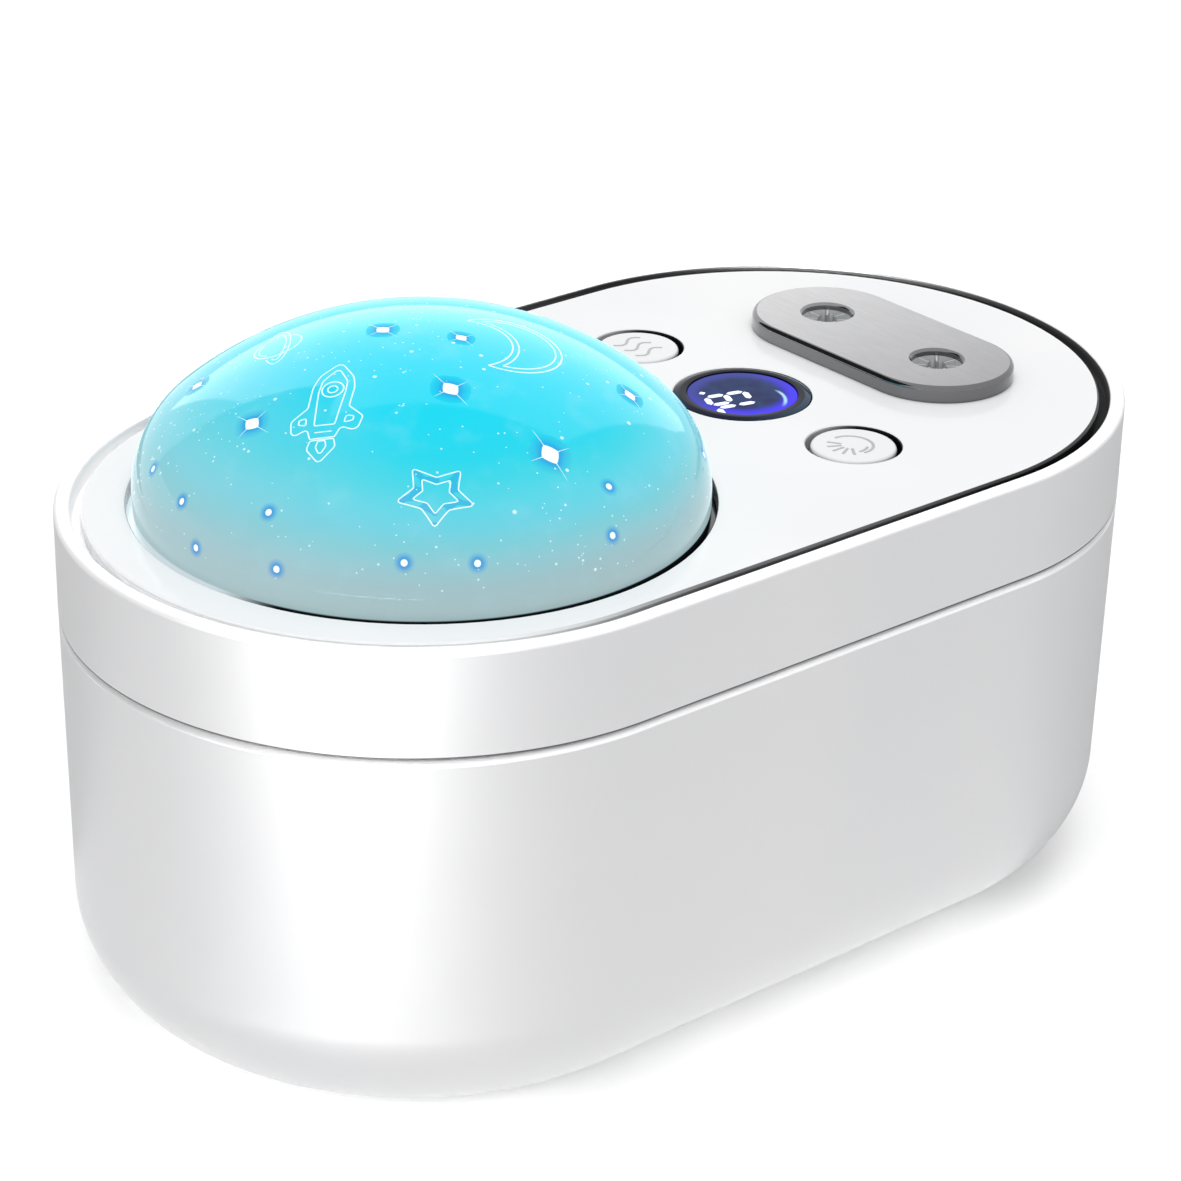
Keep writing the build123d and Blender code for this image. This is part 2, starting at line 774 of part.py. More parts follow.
with BuildPart() as motor_bracket:
    with BuildSketch(Plane.XY.offset(motor_top)):
        with Locations((dome_x, 0)):
            SlotOverall(bracket_length, bracket_width)
            Circle(motor_boss_radius + bracket_fit, mode=Mode.SUBTRACT)
            with GridLocations(bracket_hole_spacing, 0, 2, 1):
                Circle(small_screw_radius + screw_fit, mode=Mode.SUBTRACT)
    extrude(amount=bracket_thickness)
motor_bracket.part.label = "motor_bracket"
export_step(motor_bracket.part, "parts/motor_bracket.step")

screw_set(
    "motor_screws",
    [(dome_x - bracket_hole_spacing / 2, 0), (dome_x + bracket_hole_spacing / 2, 0)],
    bracket_top,
    -1,
    small_head_radius,
    small_head_height,
    small_screw_radius,
    small_screw_length,
)

with BuildPart() as motor_shaft:
    with BuildSketch(Plane.XY.offset(shaft_base)):
        with Locations((dome_x, 0)):
            Circle(motor_shaft_radius)
    extrude(amount=hub_top - shaft_base)
motor_shaft.part.label = "motor_shaft"
export_step(motor_shaft.part, "parts/motor_shaft.step")

with BuildPart() as ripple_disc:
    with BuildSketch(Plane.XY.offset(hub_base)):
        with Locations((dome_x, 0)):
            Circle(hub_radius)
    extrude(amount=hub_height)
    with BuildSketch(Plane.XY.offset(ripple_base)):
        with Locations((dome_x, 0)):
            Circle(ripple_radius)
    extrude(amount=ripple_thickness)
    with BuildSketch(Plane.XY.offset(ripple_base + ripple_thickness)):
        with Locations((dome_x, 0)):
            with PolarLocations(ripple_inner_ring_radius, ripple_inner_count):
                Circle(ripple_dimple_radius)
            with PolarLocations(ripple_outer_ring_radius, ripple_outer_count):
                Circle(ripple_dimple_radius)
    extrude(amount=-ripple_dimple_depth, mode=Mode.SUBTRACT)
    with BuildSketch(Plane.XY.offset(hub_base)):
        with Locations((dome_x, 0)):
            Circle(motor_shaft_radius)
    extrude(amount=hub_height, mode=Mode.SUBTRACT)
ripple_disc.part.label = "ripple_disc"
export_step(ripple_disc.part, "parts/ripple_disc.step")

# ---------------------------------------------------------------- controls

with BuildPart() as main_board:
    with BuildSketch(Plane.XY.offset(board_base)):
        with Locations((control_x, 0)):
            Rectangle(board_width, board_length)
        with Locations(*board_hole_points):
            Circle(small_screw_radius + screw_fit, mode=Mode.SUBTRACT)
    extrude(amount=board_thickness)
main_board.part.label = "main_board"
export_step(main_board.part, "parts/main_board.step")

screw_set(
    "board_screws",
    board_hole_points,
    board_base,
    1,
    small_head_radius,
    small_head_height,
    small_screw_radius,
    small_screw_length,
)

with BuildPart() as board_chips:
    with BuildSketch(Plane.XY.offset(board_base)):
        with Locations((control_x, 0)):
            with GridLocations(0, chip_spacing, 1, 2):
                Rectangle(chip_size, chip_size)
    extrude(amount=-chip_height)
    with BuildSketch(Plane.XY.offset(board_base)):
        with Locations((control_x, 0)):
            with GridLocations(0, connector_spacing, 1, 2):
                Rectangle(connector_length, connector_width)
    extrude(amount=-connector_height)
board_chips.part.label = "board_chips"
export_step(board_chips.part, "parts/board_chips.step")

for side, button_y in button_sides.items():
    with BuildPart() as button_cap:
        with BuildSketch(Plane.XY.offset(button_flange_base)):
            with Locations((control_x, button_y)):
                Circle(button_flange_radius)
        extrude(amount=button_flange_thickness)
        with BuildSketch(Plane.XY.offset(button_flange_top)):
            with Locations((control_x, button_y)):
                Circle(button_radius)
        extrude(amount=button_top - button_flange_top)
        chamfer(button_cap.edges().group_by(Axis.Z)[-1], button_edge)
        with BuildSketch(Plane.XY.offset(plunger_top)):
            with Locations((control_x, button_y)):
                Circle(button_stem_radius)
        extrude(amount=button_flange_base - plunger_top)
    button_cap.part.label = f"{side}_button"
    export_step(button_cap.part, f"parts/{side}_button.step")

    with BuildPart() as plunger:
        with BuildSketch(Plane.XY.offset(plunger_base)):
            with Locations((control_x, button_y)):
                Circle(plunger_radius)
        extrude(amount=plunger_top - plunger_base)
    plunger.part.label = f"{side}_plunger"
    export_step(plunger.part, f"parts/{side}_plunger.step")

    with BuildPart() as switch:
        with BuildSketch(Plane.XY.offset(board_top)):
            with Locations((control_x, button_y)):
                Rectangle(switch_size, switch_size)
        extrude(amount=switch_height)
        with BuildSketch(Plane.XY.offset(switch_top)):
            with Locations((control_x, button_y)):
                Circle(plunger_radius + plunger_fit)
        extrude(amount=-switch_well_depth, mode=Mode.SUBTRACT)
    switch.part.label = f"{side}_switch"
    export_step(switch.part, f"parts/{side}_switch.step")

with BuildPart() as display_bezel:
    with BuildSketch(upright_plane(control_x, 0)):
        with BuildLine():
            Polyline(
                (bezel_bore - window_lip, bezel_base),
                (bezel_flange_radius, bezel_base),
                (bezel_flange_radius, panel_base),
                (bezel_radius, panel_base),
                (bezel_radius, bezel_edge_top),
                (bezel_radius - bezel_bevel, bezel_top),
                (bezel_bore, bezel_top),
                (bezel_bore, panel_base),
                (bezel_bore - window_lip, panel_base),
                close=True,
            )
        make_face()
    revolve(axis=vertical_axis(control_x, 0))
display_bezel.part.label = "display_bezel"
export_step(display_bezel.part, "parts/display_bezel.step")

with BuildPart() as display_window:
    with BuildSketch(Plane.XY.offset(panel_base)):
        with Locations((control_x, 0)):
            Circle(window_radius)
    extrude(amount=window_thickness)
display_window.part.label = "display_window"
export_step(display_window.part, "parts/display_window.step")

with BuildPart() as display_module:
    with BuildSketch(Plane.XY.offset(board_top)):
        with Locations((control_x, 0)):
            Rectangle(display_width, display_length)
    extrude(amount=display_top - board_top)
display_module.part.label = "display_module"
export_step(display_module.part, "parts/display_module.step")

# ---------------------------------------------------------------- mist outlets

with BuildPart() as nozzle_cover:
    with BuildSketch(Plane.XY.offset(panel_top)):
        with Locations((nozzle_x, 0)):
            SlotCenterToCenter(nozzle_pitch, 2 * cover_radius, rotation=90)
    extrude(amount=cover_height)
    fillet(nozzle_cover.edges().group_by(Axis.Z)[-1], cover_edge_radius)
    with BuildSketch(Plane.XY.offset(panel_top)):
        with Locations((nozzle_x, 0)):
            with GridLocations(0, nozzle_pitch, 1, 2):
                Circle(neck_radius + neck_fit)
    extrude(amount=cover_height - cover_lip, mode=Mode.SUBTRACT)
    with BuildSketch(Plane.XY.offset(panel_top)):
        with Locations((nozzle_x, 0)):
            with GridLocations(0, nozzle_pitch, 1, 2):
                Circle(outlet_radius)
    extrude(amount=cover_height, mode=Mode.SUBTRACT)
    chamfer(
        nozzle_cover.faces().sort_by(Axis.Z)[-1].edges().filter_by(GeomType.CIRCLE).sort_by(SortBy.RADIUS)[:2],
        outlet_chamfer,
    )
nozzle_cover.part.label = "nozzle_cover"
export_step(nozzle_cover.part, "parts/nozzle_cover.step")

for side, outlet_y in outlet_sides.items():
    with BuildPart() as nozzle:
        with BuildSketch(upright_plane(nozzle_x, outlet_y)):
            with BuildLine():
                Polyline(
                    (throat_radius, nozzle_flange_base),
                    (nozzle_flange_radius, nozzle_flange_base),
                    (nozzle_flange_radius, panel_base),
                    (neck_radius, panel_base),
                    (neck_radius, neck_top),
                    (outlet_radius, neck_top),
                    close=True,
                )
            make_face()
        revolve(axis=vertical_axis(nozzle_x, outlet_y))
        with BuildSketch(Plane.XY.offset(nozzle_flange_base)):
            with Locations((nozzle_x, outlet_y)):
                with PolarLocations((fin_inner_radius + outlet_radius) / 2, fin_count):
                    Rectangle(outlet_radius - fin_inner_radius, fin_width)
        extrude(amount=neck_top - nozzle_flange_base)
    nozzle.part.label = f"{side}_nozzle"
    export_step(nozzle.part, f"parts/{side}_nozzle.step")

    with BuildPart() as atomiser_seal:
        with BuildSketch(upright_plane(nozzle_x, outlet_y)):
            with BuildLine():
                Polyline(
                    (holder_ring_bore, holder_ring_base),
                    (holder_ring_radius, holder_ring_base),
                    (holder_ring_radius, nozzle_flange_base),
                    (holder_ring_bore, nozzle_flange_base),
                    (holder_ring_bore, atomiser_base + atomiser_thickness),
                    (atomiser_radius + atomiser_fit, atomiser_base + atomiser_thickness),
                    (atomiser_radius + atomiser_fit, atomiser_base),
                    (holder_ring_bore, atomiser_base),
                    close=True,
                )
            make_face()
        revolve(axis=vertical_axis(nozzle_x, outlet_y))
    atomiser_seal.part.label = f"{side}_atomiser_seal"
    export_step(atomiser_seal.part, f"parts/{side}_atomiser_seal.step")

    with BuildPart() as atomiser:
        with BuildSketch(Plane.XY.offset(atomiser_base)):
            with Locations((nozzle_x, outlet_y)):
                Circle(atomiser_radius)
        extrude(amount=atomiser_thickness)
    atomiser.part.label = f"{side}_atomiser"
    export_step(atomiser.part, f"parts/{side}_atomiser.step")

    with BuildPart() as wick_tube:
        with BuildSketch(Plane.XY.offset(wick_tube_base)):
            with Locations((nozzle_x, outlet_y)):
                Circle(wick_tube_radius)
        extrude(amount=wick_tube_top - wick_tube_base)
        with BuildSketch(Plane.XY.offset(tray_base - wick_tube_flange_gap)):
            with Locations((nozzle_x, outlet_y)):
                Circle(wick_tube_flange_radius)
        extrude(amount=-wick_tube_flange_thickness)
        with BuildSketch(Plane.XY.offset(lug_base)):
            with Locations((nozzle_x, outlet_y)):
                Circle(lug_radius)
                Rectangle(2 * lug_radius, lug_width, mode=Mode.INTERSECT)
        extrude(amount=lug_height)
        with BuildSketch(Plane.XY.offset(wick_tube_base)):
            with Locations((nozzle_x, outlet_y)):
                Circle(wick_tube_bore)
        extrude(amount=wick_tube_top - wick_tube_base, mode=Mode.SUBTRACT)
    wick_tube.part.label = f"{side}_wick_tube"
    export_step(wick_tube.part, f"parts/{side}_wick_tube.step")

    with BuildPart() as wick_cap:
        with BuildSketch(Plane.XY.offset(cap_base)):
            with Locations((nozzle_x, outlet_y)):
                Circle(cap_radius)
        extrude(amount=cap_height)
        with BuildSketch(Plane.XY.offset(cap_floor_top)):
            with Locations((nozzle_x, outlet_y)):
                Circle(cap_bore)
        extrude(amount=cap_height - cap_floor, mode=Mode.SUBTRACT)
        with BuildSketch(Plane.XY.offset(cap_floor_top)):
            with Locations((nozzle_x, outlet_y)):
                with PolarLocations(cap_radius, inlet_count):
                    Rectangle(2 * cap_wall + cap_fit, inlet_width)
        extrude(amount=inlet_height, mode=Mode.SUBTRACT)
    wick_cap.part.label = f"{side}_wick_cap"
    export_step(wick_cap.part, f"parts/{side}_wick_cap.step")

    spring_rise = spring_height - 2 * spring_wire_radius
    with BuildPart() as wick_spring:
        with BuildLine() as spring_line:
            Helix(
                pitch=spring_rise / spring_turns,
                height=spring_rise,
                radius=spring_radius,
                center=(nozzle_x, outlet_y, cap_floor_top + spring_wire_radius),
            )
        with BuildSketch(Plane(origin=spring_line.line @ 0, z_dir=spring_line.line % 0)):
            Circle(spring_wire_radius)
        sweep(path=spring_line.line, is_frenet=True)
    wick_spring.part.label = f"{side}_wick_spring"
    export_step(wick_spring.part, f"parts/{side}_wick_spring.step")

    with BuildPart() as wick:
        with BuildSketch(Plane.XY.offset(wick_base)):
            with Locations((nozzle_x, outlet_y)):
                Circle(wick_radius)
        extrude(amount=wick_top - wick_base)
    wick.part.label = f"{side}_wick"
    export_step(wick.part, f"parts/{side}_wick.step")

# ---------------------------------------------------------------- supply socket

with BuildPart() as usb_socket:
    with BuildSketch(Plane.XZ.offset(-usb_mouth_y)):
        with Locations((usb_x, usb_centre_height)):
            SlotOverall(usb_width, usb_height)
    extrude(amount=usb_length)
    with BuildSketch(Plane.XZ.offset(-usb_mouth_y)):
        with Locations((usb_x, usb_centre_height)):
            SlotOverall(usb_width - 2 * usb_shell_wall, usb_height - 2 * usb_shell_wall)
            Rectangle(usb_tongue_width, usb_tongue_height, mode=Mode.SUBTRACT)
    extrude(amount=usb_length - 2 * usb_shell_wall, mode=Mode.SUBTRACT)
usb_socket.part.label = "usb_socket"
export_step(usb_socket.part, "parts/usb_socket.step")

with BuildPart() as usb_board:
    with BuildSketch(Plane.XY.offset(usb_board_base)):
        with Locations((usb_x, usb_board_edge_y - usb_board_length / 2)):
            Rectangle(usb_board_width, usb_board_length)
        with Locations(*usb_post_points):
            Circle(small_screw_radius + screw_fit, mode=Mode.SUBTRACT)
    extrude(amount=usb_board_thickness)
usb_board.part.label = "usb_board"
export_step(usb_board.part, "parts/usb_board.step")
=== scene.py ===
"""Finished surfaces, light and camera for a star projector with two mist outlets.

Metres, Z up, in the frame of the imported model. The dome stands at -X, the mist outlets at +X and the
front is -Y. Sizes in the classes are millimetres where they don't say otherwise, and MM turns them into
metres. Angles are degrees.
"""
import json
import logging
import math
from dataclasses import dataclass, field
from enum import Enum
from typing import Optional, Sequence, Union

import bmesh
import bpy
from mathutils import Matrix, Vector


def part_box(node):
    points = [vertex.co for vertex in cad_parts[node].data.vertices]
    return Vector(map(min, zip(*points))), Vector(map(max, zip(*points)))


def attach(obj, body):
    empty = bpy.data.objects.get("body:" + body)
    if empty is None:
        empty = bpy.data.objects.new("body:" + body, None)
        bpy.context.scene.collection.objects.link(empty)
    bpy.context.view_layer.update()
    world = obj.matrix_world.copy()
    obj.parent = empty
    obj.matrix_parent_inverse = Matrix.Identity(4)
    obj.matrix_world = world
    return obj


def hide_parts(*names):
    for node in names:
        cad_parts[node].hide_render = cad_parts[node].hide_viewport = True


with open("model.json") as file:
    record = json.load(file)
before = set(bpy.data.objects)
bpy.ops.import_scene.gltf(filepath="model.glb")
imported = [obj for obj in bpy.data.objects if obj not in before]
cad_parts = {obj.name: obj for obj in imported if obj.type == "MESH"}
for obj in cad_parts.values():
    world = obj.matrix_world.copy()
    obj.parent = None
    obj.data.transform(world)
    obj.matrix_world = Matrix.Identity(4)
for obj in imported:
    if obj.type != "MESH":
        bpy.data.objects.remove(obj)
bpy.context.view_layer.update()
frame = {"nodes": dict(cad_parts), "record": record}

MM = 0.001
RECORD = frame["record"]
NODE_SLOTS = {part["node"]: part["material_slot"] for part in RECORD["subparts"]}
NODE_BODIES = {node: body for body, nodes in RECORD["behaviour"]["bodies"].items() for node in nodes}
MERGE_DISTANCE = 0.002 * MM
RIDGE_STEP = 0.3  # between the points along a drawn line
DROP_HEIGHT = 5.0  # above a surface's top, from where places are dropped onto it
LIFT = "lift"
HALO = "halo"
SPARK = "spark"
SIZE = "size"
SHARP_EDGE = 32.0  # an edge that turns by more stays sharp
SOFT_EDGE = 80.0  # the same on ridges and draped shapes

Colour = tuple[float, float, float]
Point = tuple[float, float]
Size = tuple[float, float]
Place = tuple[float, float, float]
Face = tuple[int, ...]
Piece = bpy.types.Object
log = logging.getLogger("star_projector")


# ---------------------------------------------------------------- node trees


class Value:
    """A node socket that takes part in Python sums, adding a Math node for each."""

    def __init__(self, nodes: "Nodes", socket: Optional[bpy.types.NodeSocket]) -> None:
        """Keep the socket and the tree it is in."""
        self.nodes = nodes
        self.socket = socket

    def math(self, operation: str, *others: "Operand") -> "Value":
        """A Math node on this value, with the others as its next inputs."""
        inputs = dict(enumerate((self, *others)))
        return self.nodes.make("ShaderNodeMath", {"operation": operation}, inputs)

    def output(self, name: Union[str, int]) -> "Value":
        """Another output of the same node."""
        return Value(self.nodes, self.socket.node.outputs[name])

    def clamped(self) -> "Value":
        """The value kept between 0 and 1."""
        return self.math("MAXIMUM", 0.0).math("MINIMUM", 1.0)

    def between(self, low: float, high: float) -> "Value":
        """A smooth step: 0 below low, 1 above high."""
        values = {"Value": self, "From Min": low, "From Max": high}
        return self.nodes.make("ShaderNodeMapRange", {"interpolation_type": "SMOOTHSTEP"}, values)

    def swing(self, amount: float) -> "Value":
        """A pattern from 0 to 1 that now swings about 0, by half the amount to each side."""
        return amount * (self - 0.5)

    def __add__(self, other: "Operand") -> "Value":
        """Sum."""
        return self.math("ADD", other)

    __radd__ = __add__

    def __sub__(self, other: "Operand") -> "Value":
        """Difference."""
        return self.math("SUBTRACT", other)

    def __rsub__(self, other: "Operand") -> "Value":
        """Difference from a number."""
        return self.nodes.make("ShaderNodeMath", {"operation": "SUBTRACT"}, {0: other, 1: self})

    def __mul__(self, other: "Operand") -> "Value":
        """Product."""
        return self.math("MULTIPLY", other)

    __rmul__ = __mul__

    def __truediv__(self, other: "Operand") -> "Value":
        """Quotient."""
        return self.math("DIVIDE", other)

    def __rtruediv__(self, other: "Operand") -> "Value":
        """A number over this value."""
        return self.nodes.make("ShaderNodeMath", {"operation": "DIVIDE"}, {0: other, 1: self})

    def __pow__(self, other: "Operand") -> "Value":
        """Power."""
        return self.math("POWER", other)

    def __mod__(self, other: "Operand") -> "Value":
        """Remainder."""
        return self.math("MODULO", other)


Operand = Union[Value, float]


class Nodes:
    """Adds nodes to one shader or geometry tree and wires them."""

    def __init__(self, tree: bpy.types.NodeTree) -> None:
        """Keep the tree."""
        self.tree = tree

    def make(
        self,
        kind: str,
        settings: Optional[dict[str, object]] = None,
        values: Optional[dict[Union[str, int], object]] = None,
        output: Union[str, int] = 0,
    ) -> Value:
        """Add one node of any type.

        Args:
            kind: The node's type.
            settings: Its properties, set first. "stops" are a colour ramp's places and colours.
            values: What each input gets, by name or place: a Value to link, or a plain value.
            output: The output that is handed back.

        Returns:
            That output, or an empty Value for a node without outputs.
        """
        node = self.tree.nodes.new(kind)
        for name, setting in (settings or {}).items():
            if name == "stops":
                self._set_stops(node, setting)
            else:
                setattr(node, name, setting)
        for name, given in (values or {}).items():
            self._feed(node.inputs[name], given)
        return Value(self, node.outputs[output] if node.outputs else None)

    def _set_stops(self, node: bpy.types.Node, stops: Sequence[tuple[float, Colour]]) -> None:
        """Give a ramp its stops, which come in rising order."""
        elements = node.color_ramp.elements
        while len(elements) < len(stops):
            elements.new(1.0)
        for element, (place, colour) in zip(elements, stops):
            element.position = place
            element.color = (*colour, 1.0)

    def _feed(self, socket: bpy.types.NodeSocket, given: object) -> None:
        """Link a Value to an input, or set the input's own value."""
        if isinstance(given, Value):
            self.tree.links.new(given.socket, socket)
        elif socket.type == "RGBA" and len(given) == 3:
            socket.default_value = (*given, 1.0)
        else:
            socket.default_value = given

    def mix(self, factor: Operand, first: object, second: object, blend: str = "MIX") -> Value:
        """A mix of two colours, the first at a factor of 0 and the second at 1."""
        settings = {"data_type": "RGBA", "blend_type": blend}
        return self.make("ShaderNodeMix", settings, {0: factor, 6: first, 7: second}, output=2)

    def place(self) -> Value:
        """Object coordinates in metres."""
        return self.make("ShaderNodeTexCoord", output="Object")

    def axes(self) -> tuple[Value, Value, Value]:
        """Object coordinates in millimetres, one by one."""
        split = self.make("ShaderNodeSeparateXYZ", {}, {"Vector": self.place()})
        return split / MM, split.output("Y") / MM, split.output("Z") / MM

    def part(self, vector: Value, axis: str) -> Value:
        """One coordinate of a vector."""
        return self.make("ShaderNodeSeparateXYZ", {}, {"Vector": vector}, output=axis)

    def moved(self, centre: Sequence[float] = (0, 0, 0), stretch: Sequence[float] = (1, 1, 1)) -> Value:
        """Object coordinates in metres, about a centre in millimetres and stretched along each axis."""
        values = {"Vector": self.place(), "Location": [c * MM for c in centre], "Scale": stretch}
        return self.make("ShaderNodeMapping", {"vector_type": "TEXTURE"}, values)

    def noise(self, size: float, vector: Optional[Value] = None, detail: float = 3.0) -> Value:
        """Noise from 0 to 1 with features of a size in millimetres, on Object coordinates or others."""
        values = {"Vector": vector or self.place(), "Scale": 1 / (size * MM), "Detail": detail}
        return self.make("ShaderNodeTexNoise", {}, values)

    def cells(self, pitch: float, scatter: float, vector: Value, feature: str = "F1") -> Value:
        """The distance to scattered spots, or to their cells' edges, as a share of a pitch in millimetres."""
        values = {"Vector": vector, "Scale": 1 / (pitch * MM), "Randomness": scatter}
        return self.make("ShaderNodeTexVoronoi", {"feature": feature}, values)

    def vector(self, operation: str, values: dict[Union[str, int], object], output: str = "Vector") -> Value:
        """A Vector Math node."""
        return self.make("ShaderNodeVectorMath", {"operation": operation}, values, output)

    def bump(self, height: Value, depth: float) -> Value:
        """The normal bumped by a height pattern from 0 to 1, over a depth in millimetres."""
        return self.make("ShaderNodeBump", {}, {"Height": height, "Distance": depth * MM, "Strength": 1.0})

    def principled(self, values: dict[str, object]) -> Value:
        """The Principled shader with these inputs."""
        return self.make("ShaderNodeBsdfPrincipled", {}, values)


def scaled(colour: Colour, share: float) -> Colour:
    """A colour times a number."""
    return tuple(c * share for c in colour)


def distance(x: Value, y: Value) -> Value:
    """How far a place in plan is from the middle."""
    return (x * x + y * y).math("SQRT")


def towards(x: Value, y: Value, bearing: float) -> Value:
    """How far a place in plan lies along a bearing, in degrees from +X towards +Y."""
    aim = math.radians(bearing)
    return x * math.cos(aim) + y * math.sin(aim)


def stadium_reach(x: Value, y: Value, spacing: float) -> Value:
    """How far a place in plan is from the line between a stadium's arc centres."""
    beyond = (x.math("ABSOLUTE") - spacing / 2).math("MAXIMUM", 0.0)
    return distance(beyond, y)


# ---------------------------------------------------------------- finishes


@dataclass(frozen=True)
class Finish:
    """What every finish shares: its name, and that its material is made only once."""

    name: str

    def material(self) -> bpy.types.Material:
        """The finish's material, made the first time that it is asked for."""
        full_name = f"finish_{self.name}"
        found = bpy.data.materials.get(full_name)
        if found:
            return found
        made = bpy.data.materials.new(full_name)
        made.use_nodes = True
        made.node_tree.nodes.clear()
        nodes = Nodes(made.node_tree)
        nodes.make("ShaderNodeOutputMaterial", {}, {"Surface": self.surface(nodes)})
        return made

    def surface(self, nodes: Nodes) -> Value:
        """Build the shader. Each finish has its own."""
        raise NotImplementedError


@dataclass(frozen=True)
class MouldedPlastic(Finish):
    """Injection moulded plastic: a very faint drift of tone, fine grain and uneven gloss."""

    colour: Colour = (0.9, 0.9, 0.91)
    roughness: float = 0.3
    unevenness: float = 0.08
    grain_size: float = 0.35
    grain_depth: float = 0.002
    flow_size: float = 38.0
    grain_gloss: float = 0.03
    flow_stretch: float = 3.0
    handling_size: float = 7.0
    tint: Colour = (0.96, 0.965, 0.975)
    shine: float = 0.5

    def marked(self, nodes: Nodes, colour: Value) -> Value:
        """The colour with any painted light or shade on it. Plain plastic has none."""
        return colour

    def surface(self, nodes: Nodes) -> Value:
        """Plastic with flow marks in its tone and a grain in its normal."""
        flow = nodes.noise(self.flow_size, nodes.moved(stretch=(1.0, 1.0, self.flow_stretch)), detail=1.0)
        grain = nodes.noise(self.grain_size, detail=2.0)
        handling = nodes.noise(self.handling_size, detail=4.0)
        tinted = tuple(c * t for c, t in zip(self.colour, self.tint))
        colour = nodes.mix(flow.between(0.35, 0.7), self.colour, tinted)
        return nodes.principled({
            "Base Color": self.marked(nodes, colour),
            "Roughness": self.roughness + handling.swing(self.unevenness) + grain.swing(self.grain_gloss),
            "Specular IOR Level": self.shine,
            "Normal": nodes.bump(grain, self.grain_depth),
        })


@dataclass(frozen=True)
class GrooveShade:
    """Painted shade in the groove round the panel: black at the outlets' end, grey in the middle, pale at the
    dome's.
    """

    black: Colour = (0.006, 0.006, 0.007)
    grey: Colour = (0.12, 0.12, 0.125)
    pale: Colour = (0.92, 0.92, 0.925)
    black_from: float = 45.0
    grey_at: float = -15.0
    pale_from: float = -60.0

    def tone(self, nodes: Nodes, along: Value) -> Value:
        """The painted groove shade at a place along X, in millimetres."""
        near = nodes.mix(along.between(self.grey_at, self.black_from), self.grey, self.black)
        return nodes.mix(along.between(self.pale_from, self.grey_at), self.pale, near)


# Painted shade, shared by the band's bore, the panel's outer edge and the strip in the groove.
GROOVE_SHADE = GrooveShade()


@dataclass(frozen=True)
class BandPlastic(MouldedPlastic):
    """The lid band's plastic, with the groove's painted shade on its bore and a painted dark line of shade
    along its foot.
    """

    spacing: float = 71.8
    bore_from: float = 47.75
    bore_to: float = 47.82
    groove_shade_low: float = 72.0
    low_fade: float = 0.2
    groove_shade_high: float = 76.0
    high_fade: float = 0.1
    seam_shade_top: float = 61.12
    seam_shade_fade: float = 0.06
    seam_shade: Colour = (0.025, 0.025, 0.028)

    def marked(self, nodes: Nodes, colour: Value) -> Value:
        """Painted groove shade on the bore between two heights, and painted shade on the rounding at the
        band's foot.
        """
        x, y, z = nodes.axes()
        inside = 1 - stadium_reach(x, y, self.spacing).between(self.bore_from, self.bore_to)
        above = z.between(self.groove_shade_low - self.low_fade, self.groove_shade_low)
        below = 1 - z.between(self.groove_shade_high - self.high_fade, self.groove_shade_high)
        # painted shade: the groove's shade tone laid on the bore
        groove_shaded = nodes.mix(inside * (above * below), colour, GROOVE_SHADE.tone(nodes, x))
        # painted shade: a dark line on the foot's rounding, where the band overhangs the tank
        return nodes.mix(z.between(self.seam_shade_top - self.seam_shade_fade, self.seam_shade_top), self.seam_shade, groove_shaded)


@dataclass(frozen=True)
class PanelPlastic(MouldedPlastic):
    """The top panel's plastic: a white face, with painted shade at its edges and painted light and shade in
    its holes.
    """

    spacing: float = 71.8
    reach: float = 46.2
    edge_from: float = 0.6
    edge_to: float = 0.4
    face: float = 75.62
    face_fade: float = 0.08
    front_lap: float = 0.45
    lap_fade: float = 0.06
    lit_from: float = -0.5
    dark_from: float = 0.3
    shaded_hole_wall: Colour = (0.008, 0.009, 0.012)
    lit_hole_wall: Colour = (0.45, 0.45, 0.46)
    shaded_side: Place = (-0.85, 0.53, 0.0)

    def marked(self, nodes: Nodes, colour: Value) -> Value:
        """Painted groove shade at the outer edge, reaching a little onto the face at the front, and painted
        light and shade on the hole walls by the way each faces.
        """
        x, y, z = nodes.axes()
        reach = stadium_reach(x, y, self.spacing)
        outer = reach.between(self.reach - self.edge_from, self.reach - self.edge_to)
        # painted shade: the groove's shade laps a little further onto the face at the front
        lapped = (reach - self.front_lap * y / reach).between(self.reach - self.lap_fade, self.reach)
        # painted light and shade: hole walls dark where they face one side, grey where they face the other
        normal = nodes.make("ShaderNodeNewGeometry", output="Normal")
        facing = nodes.vector("DOT_PRODUCT", {0: normal, 1: self.shaded_side}, "Value")
        hole = nodes.mix(facing.between(self.lit_from, self.dark_from), self.lit_hole_wall, self.shaded_hole_wall)
        painted_edge_shade = nodes.mix(outer, hole, GROOVE_SHADE.tone(nodes, x))
        face = z.between(self.face - self.face_fade, self.face) * (1 - lapped)
        return nodes.mix(face, painted_edge_shade, colour)


@dataclass(frozen=True)
class ButtonPlastic(MouldedPlastic):
    """A button's plastic: pale on its cap, with painted shade down its side and on its flange."""

    centre: Point = (0.0, 0.0)
    cap_level: float = 75.0
    cap_fade: float = 0.15
    radius: float = 6.3
    dark_bearing: float = -52.0
    light_until: float = -0.45
    deep_from: float = 0.25
    deep: Colour = (0.008, 0.008, 0.01)
    light: Colour = (0.5, 0.5, 0.51)

    def marked(self, nodes: Nodes, colour: Value) -> Value:
        """Painted light and shade below the cap's edge: dark on one side, lighter on the other."""
        x, y, z = nodes.axes()
        across = towards(x - self.centre[0], y - self.centre[1], self.dark_bearing) / self.radius
        # painted shade: dark towards the dark bearing, lighter away from it
        side = nodes.mix(across.between(self.light_until, self.deep_from), self.light, self.deep)
        return nodes.mix(z.between(self.cap_level - self.cap_fade, self.cap_level), side, colour)


